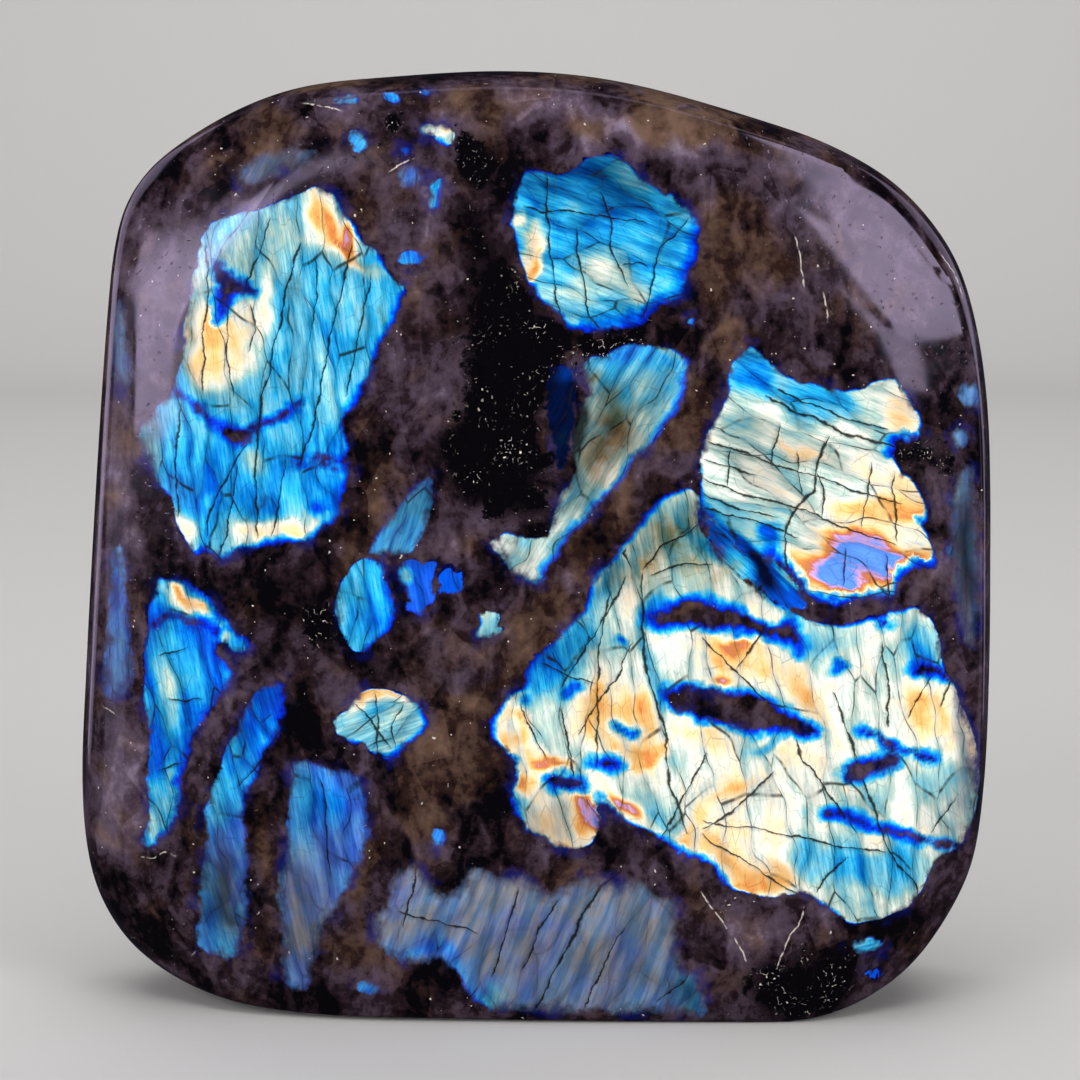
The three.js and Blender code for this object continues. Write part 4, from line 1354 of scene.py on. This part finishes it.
# How the layers dull the flash: more in the blue parts, where they show as streaks, than in the pale
# ones
STREAKS = Change(0.3, 0.62, end=1.06)
STREAK_DEPTH = Change(0.0, 1.0, 0.7, 0.92)
DULL_WANDER = Change(0.25, 0.55, 0.86, 1.04)
DULL_BANDS = Change(0.36, 0.6, end=1.08)
BAND_DEPTH = Change(0.0, 1.0, 0.84, 0.95)
DULL_WALLS = Change(0.0, 1.0, end=1.08)
WALL_DEPTH = Change(0.0, 1.0, 0.72, 0.86)
DULL_CELLS = Change(0.0, 1.0, 0.86, 1.08)
SHADE_DEPTH = 0.34


def brightness(wires, layers, wander, paler, shades, dim):
    """How brightly each point of a patch flashes."""
    return wires.multiplied(
        wires.step(layers.fine, STREAKS, start=wires.step(paler, STREAK_DEPTH)),
        wires.step(wander, DULL_WANDER),
        wires.step(layers.bands, DULL_BANDS, start=wires.step(paler, BAND_DEPTH)),
        wires.step(layers.middle, DULL_WALLS, start=wires.step(paler, WALL_DEPTH)),
        wires.step(layers.first, DULL_CELLS),
        wires.math("SUBTRACT", 1.0, wires.math("MULTIPLY", shades, SHADE_DEPTH)),
        wires.math("SUBTRACT", 1.0, dim))


PALE_ORDERS = Change(0.42, 0.56)
SOAKED = Change(0.3, 0.55, 0.4, 1.2)
MILKY = Change(0.25, 0.7, 0.78, 1.15)
WARM_STREAKS = Change(0.35, 0.68)
CRAZED_PARTS = Change(0.38, 0.62, 0.2, 0.95)
CRAZING_IN_HAZE = Change(0.2, 1.0, 1.0, 0.35)
CRACK_DARKNESS = 0.94
CRACK_FILL = 0.5


def flash_colour(wires, place, edges, colours):
    """Colour of a flashing patch: its layers, rims, stains and haze, crossed by fractures."""
    order, haze, dim = wires.attribute("tint")
    _, _, stained = wires.attribute("grain")
    layers = patch_layers(wires, place)
    lines, shades = fracture_lines(wires, place)
    paler = wires.greatest(wires.step(order, PALE_ORDERS), haze)
    hue = layer_hue(wires, layers, edges, order, haze, paler, shades)
    level = grey(wires, brightness(wires, layers, edges.wander, paler, shades, dim))
    flash = wires.mix(1.0, wires.ramp(hue, flash_colours(colours)), level, "MULTIPLY")
    soaked = wires.math("MULTIPLY", stained, wires.step(edges.wander, SOAKED), clamp=True)
    flash = wires.mix(soaked, flash, wires.mix(1.0, flash, colours.stain, "MULTIPLY"))
    milk = wires.math("MULTIPLY", haze, wires.step(edges.drift, MILKY), clamp=True)
    clouded = wires.mix(wires.step(layers.bands, WARM_STREAKS), colours.haze, colours.warm_haze)
    flash = wires.mix(milk, flash, wires.mix(1.0, clouded, level, "MULTIPLY"))
    crazing = wires.multiplied(layers.crazing, wires.step(edges.wander, CRAZED_PARTS),
                               wires.step(haze, CRAZING_IN_HAZE))
    broken = wires.greatest(lines, crazing)
    cut = wires.mix(CRACK_FILL, wires.mix(1.0, flash, colours.crack, "MULTIPLY"), colours.crack)
    return wires.mix(wires.math("MULTIPLY", broken, CRACK_DARKNESS), flash, cut)


# The polished surface: how its gloss and its slight waves change, and tiny pits
REFRACTION = 1.56
SMEAR = Pattern(0.25, 1.0, 0.6)
GLOSS_CHANGE = Change(0.3, 0.75)
GLOSSIEST = 0.7
DULLEST = 1.5
WAVES = Pattern(0.12, 1.0)
WAVE_STRENGTH = 0.6
PITS = Pattern(1.5, 0.0)
PIT_DEPTH = Change(0.74, 0.82, 0.0, -0.35)


def surface_bump(wires, place, height):
    bump = wires.node("Bump")
    bump.inputs["Distance"].default_value = height
    bump.inputs["Strength"].default_value = WAVE_STRENGTH
    pits = wires.step(wires.noise(place, PITS), PIT_DEPTH)
    wires.put(bump.inputs["Height"], wires.math("ADD", wires.noise(place, WAVES), pits))
    return bump.outputs[0]


def polish(wires, shade, roughness, bump):
    """One layer of the polished surface, with the colour under it."""
    surface = wires.node("BsdfPrincipled")
    wires.put(surface.inputs["Base Color"], shade)
    wires.put(surface.inputs["Roughness"], roughness)
    surface.inputs["IOR"].default_value = REFRACTION
    wires.put(surface.inputs["Normal"], bump)
    return surface.outputs[0]


def blended(wires, amount, first, second):
    mixed = wires.node("MixShader")
    wires.put(mixed.inputs[0], amount)
    wires.put(mixed.inputs[1], first)
    wires.put(mixed.inputs[2], second)
    return mixed.outputs[0]


# Edges of the patches, in mm: how they wander and fray, how soft they are, and the glow beside them
WANDER = Pattern(0.36, 3.0, 0.6)
WANDER_REACH = 1.3
FRAY = Pattern(1.5, 2.0, 0.6, 0.0, (0.9, 1.0, 0.6))
FRAY_REACH = 0.6
DRIFT = Pattern(0.2, 3.0, 0.6)
EDGE_SOFTNESS = Change(0.42, 0.62, 0.2, 1.1)
HAZE_SOFTNESS = 1.6
EDGE_START = -0.25
GLOW_REACH = Change(-1.4, 0.0, 0.0, 0.6)
GLOW_PARTS = Change(0.48, 0.66)
# Pale hairlines, in mm
HAIR_WOBBLE = 0.5
HAIR_LINE = Change(0.02, 0.14, 0.7, 0.0)
HAIR_END = Change(0.02, 0.08)
HAIR_BREAKS = Change(0.36, 0.56)


def hairlines(wires, wander, fray):
    """Strength of the pale hairlines at a point, some of them painted highlights along the rims."""
    side, present, width = wires.attribute("hairline")
    apart = wires.math("ABSOLUTE", wires.math("ADD", side, wires.centred(wander, HAIR_WOBBLE)))
    return wires.multiplied(
        wires.step(apart, HAIR_LINE), wires.step(wires.math("MULTIPLY", present, width), HAIR_END),
        wires.step(fray, HAIR_BREAKS))


def stone_material():
    """The whole pattern of the stone: flashing patches in dark rock with a black inclusion."""
    colours = stone_settings()
    material = bpy.data.materials.new("polished_labradorite")
    wires = Wires(material)
    coordinates = wires.node("TexCoord")
    in_mm = wires.node("VectorMath", operation="SCALE")
    wires.put(in_mm.inputs[0], coordinates.outputs["Object"])
    in_mm.inputs["Scale"].default_value = 1 / MM
    place = in_mm.outputs[0]

    depth, rim, strength = wires.attribute("flash")
    _, haze, _ = wires.attribute("tint")
    wander = wires.noise(place, WANDER)
    fray = wires.noise(place, FRAY)
    drift = wires.noise(place, DRIFT)
    warp = wires.added(wires.centred(wander, WANDER_REACH), wires.centred(fray, FRAY_REACH))
    depth = wires.math("ADD", depth, warp)
    softness = wires.added(wires.step(drift, EDGE_SOFTNESS), wires.math("MULTIPLY", haze, HAZE_SOFTNESS))
    shown = wires.math("MULTIPLY", wires.step(depth, Change(EDGE_START, softness)), strength)

    rock, within = dark_stone(wires, place, colours)
    # Some patches throw a deep blue glow into the dark stone beside them.
    glow = wires.math("MULTIPLY", wires.step(depth, GLOW_REACH), wires.step(drift, GLOW_PARTS))
    rock = wires.mix(wires.math("MULTIPLY", glow, strength), rock, colours.glow)
    flash = flash_colour(wires, place, Edges(rim, warp, wander, fray, drift), colours)
    # The pale hairlines, some of them painted highlights, go over both the rock and the flash.
    pale = hairlines(wires, wander, fray)
    rock = wires.mix(pale, rock, colours.sparkle)
    flash = wires.mix(pale, flash, colours.sparkle)
    inclusion = inclusion_colour(wires, place, colours)

    gloss = colours.roughness
    roughness = wires.step(wires.noise(place, SMEAR), GLOSS_CHANGE, gloss * GLOSSIEST, gloss * DULLEST)
    bump = surface_bump(wires, place, colours.wave)
    rock, inclusion, flash = [polish(wires, shade, roughness, bump) for shade in (rock, inclusion, flash)]
    wires.finish(blended(wires, shown, blended(wires, within, rock, inclusion), flash))
    return material


class LABRADORITE_OT_stone(bpy.types.Operator):
    """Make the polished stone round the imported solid"""

    bl_idname = "labradorite.stone"
    bl_label = "Polished stone"

    def execute(self, context):
        stone = make_stone()
        mark_stone(stone.data)
        stone.data.materials.clear()
        stone.data.materials.append(stone_material())
        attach(stone, "root")
        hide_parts(STONE)
        return {"FINISHED"}


# Stage

def aimed(place, target):
    """The turn that points an object's -Z from place to target, with its Y upright."""
    return (Vector(target) - Vector(place)).to_track_quat("-Z", "Y").to_euler()


def panel_light(name, place, target, size, power, shade=(1.0, 1.0, 1.0), mirrored=False):
    light = bpy.data.lights.new(name, "AREA")
    light.shape = "RECTANGLE"
    light.size, light.size_y = size
    light.energy = power
    light.color = shade
    panel = bpy.data.objects.new(name, light)
    panel.location = place
    panel.rotation_euler = aimed(place, target)
    panel.visible_diffuse = not mirrored
    panel.visible_glossy = mirrored
    bpy.context.scene.collection.objects.link(panel)
    return panel


def plain_material(name, shade, roughness):
    material = bpy.data.materials.new(name)
    wires = Wires(material)
    surface = wires.node("BsdfPrincipled")
    wires.put(surface.inputs["Base Color"], shade)
    surface.inputs["Roughness"].default_value = roughness
    wires.finish(surface.outputs[0])
    return material


FLOOR_REACH = 1.6
FLOOR_ROUGHNESS = 0.7
SWEEP_RADIUS = 0.5
SWEEP_STEPS = 24


def make_floor(settings):
    """A pale floor that sweeps up into a wall behind the stone."""
    net = bmesh.new()
    bmesh.ops.create_grid(net, x_segments=1, y_segments=1, size=FLOOR_REACH)
    far = [edge for edge in net.edges if all(vert.co.y > 0 for vert in edge.verts)]
    wall = bmesh.ops.extrude_edge_only(net, edges=far)["geom"]
    risen = [part for part in wall if isinstance(part, bmesh.types.BMVert)]
    bmesh.ops.translate(net, verts=risen, vec=(0, 0, 2 * FLOOR_REACH))
    foot = [edge for edge in net.edges if len(edge.link_faces) == 2]
    bmesh.ops.bevel(net, geom=foot, offset=SWEEP_RADIUS, offset_type="OFFSET", segments=SWEEP_STEPS,
                    profile=0.5, affect="EDGES", material=-1)
    mesh = bpy.data.meshes.new("floor")
    net.to_mesh(mesh)
    net.free()
    mesh.shade_smooth()
    floor = bpy.data.objects.new("floor", mesh)
    mesh.materials.append(plain_material("floor", tuple(settings.floor), FLOOR_ROUGHNESS))
    bpy.context.scene.collection.objects.link(floor)
    floor.visible_glossy = False


def make_camera():
    place, _, _, _ = view_axes()
    lens = bpy.data.cameras.new("camera")
    lens.lens = LENS_MM
    lens.sensor_width = SENSOR_MM
    camera = bpy.data.objects.new("camera", lens)
    camera.location = place
    camera.rotation_euler = aimed(place, VIEW_TARGET)
    bpy.context.scene.collection.objects.link(camera)
    bpy.context.scene.camera = camera


# Panels that light the stone and the floor: place, what they face, width and height in metres, which
# power they take and how many times over.
STONE_MIDDLE = (0.0, 0.0, 0.06)
WALL_MIDDLE = (0.0, 1.6, 0.4)
LIGHTING_PANELS = (
    ("front_left", (-0.55, -0.75, 0.35), STONE_MIDDLE, (0.5, 0.6), "front_light", 1),
    ("front_right", (0.65, -0.7, 0.3), STONE_MIDDLE, (0.5, 0.6), "front_light", 1),
    ("top", (0.0, -0.25, 0.9), STONE_MIDDLE, (0.9, 0.7), "top_light", 1),
    ("wall", (0.0, 0.5, 1.4), WALL_MIDDLE, (1.6, 0.6), "top_light", 4),
)

# Panels that only the polish mirrors: degrees to the right of the show face and up from level, as the
# upper corners see them, then width and height in metres and share of the softboxes' power.
PANEL_REACH = 0.6
MIRRORED_TINT = (0.82, 0.68, 1.0)
CORNER = (0.045, -0.015, 0.09)  # the upper right one; the left one is its mirror image
MIRRORED_PANELS = (
    ("softbox_left", -47, 15, 0.2, 0.33, 1.3),
    ("softbox_left_fade", -34, 14, 0.1, 0.3, 0.2),
    ("softbox_left_arm", -27, 27, 0.36, 0.05, 0.16),
    ("side_left", -72, -8, 0.28, 0.48, 0.4),
    ("softbox_right_low", 33, 13, 0.13, 0.17, 0.3),
    ("softbox_right_middle", 42, 26, 0.13, 0.12, 0.3),
    ("softbox_right_high", 54, 38, 0.26, 0.13, 0.6),
    ("side_right", 76, 0, 0.2, 0.4, 0.16),
    ("edge_left", -128, 12, 0.4, 0.6, 0.8),
    ("edge_right", 128, 12, 0.4, 0.6, 0.6),
    ("edge_top", 12, 84, 0.7, 0.3, 0.6),
)


def make_lights(settings):
    powers = {"front_light": settings.front_light, "top_light": settings.top_light}
    for name, place, target, size, power, share in LIGHTING_PANELS:
        panel_light(name, place, target, size, powers[power] * share)
    for name, across, up, width, height, share in MIRRORED_PANELS:
        turn = math.radians(across)
        rise = math.radians(up)
        way = Vector((math.sin(turn) * math.cos(rise), -math.cos(turn) * math.cos(rise), math.sin(rise)))
        start = Vector((math.copysign(CORNER[0], across), *CORNER[1:]))
        panel_light(name, start + PANEL_REACH * way, start, (width, height), settings.softbox * share,
                    MIRRORED_TINT, True)
    world = bpy.data.worlds.new("room")
    world.use_nodes = True
    backdrop = world.node_tree.nodes["Background"]
    backdrop.inputs["Color"].default_value = (*settings.room, 1.0)
    backdrop.inputs["Strength"].default_value = 1.0
    bpy.context.scene.world = world
    bpy.context.scene.view_settings.view_transform = "Standard"


class LABRADORITE_OT_studio(bpy.types.Operator):
    """Make the pale floor, the soft lights and the camera"""

    bl_idname = "labradorite.studio"
    bl_label = "Studio"

    def execute(self, context):
        settings = studio_settings()
        make_floor(settings)
        make_lights(settings)
        make_camera()
        return {"FINISHED"}


class LABRADORITE_PT_panel(bpy.types.Panel):
    """Lists the makers of the stone and its studio, with their sizes and colours"""

    bl_idname = "LABRADORITE_PT_panel"
    bl_label = "Labradorite"
    bl_space_type = "VIEW_3D"
    bl_region_type = "UI"
    bl_category = "Labradorite"

    def draw(self, context):
        for settings, maker in (
            (stone_settings(), LABRADORITE_OT_stone),
            (studio_settings(), LABRADORITE_OT_studio),
        ):
            self.layout.operator(maker.bl_idname)
            for name in settings.__annotations__:
                self.layout.prop(settings, name)


CLASSES = (
    StoneSettings,
    StudioSettings,
    LABRADORITE_OT_stone,
    LABRADORITE_OT_studio,
    LABRADORITE_PT_panel,
)


def register():
    for each in CLASSES:
        bpy.utils.register_class(each)
    bpy.types.Scene.labradorite_stone = PointerProperty(type=StoneSettings)
    bpy.types.Scene.labradorite_studio = PointerProperty(type=StudioSettings)


def unregister():
    del bpy.types.Scene.labradorite_studio
    del bpy.types.Scene.labradorite_stone
    for each in reversed(CLASSES):
        bpy.utils.unregister_class(each)


def main():
    register()
    bpy.ops.labradorite.stone()
    bpy.ops.labradorite.studio()


if __name__ == "__main__":
    main()
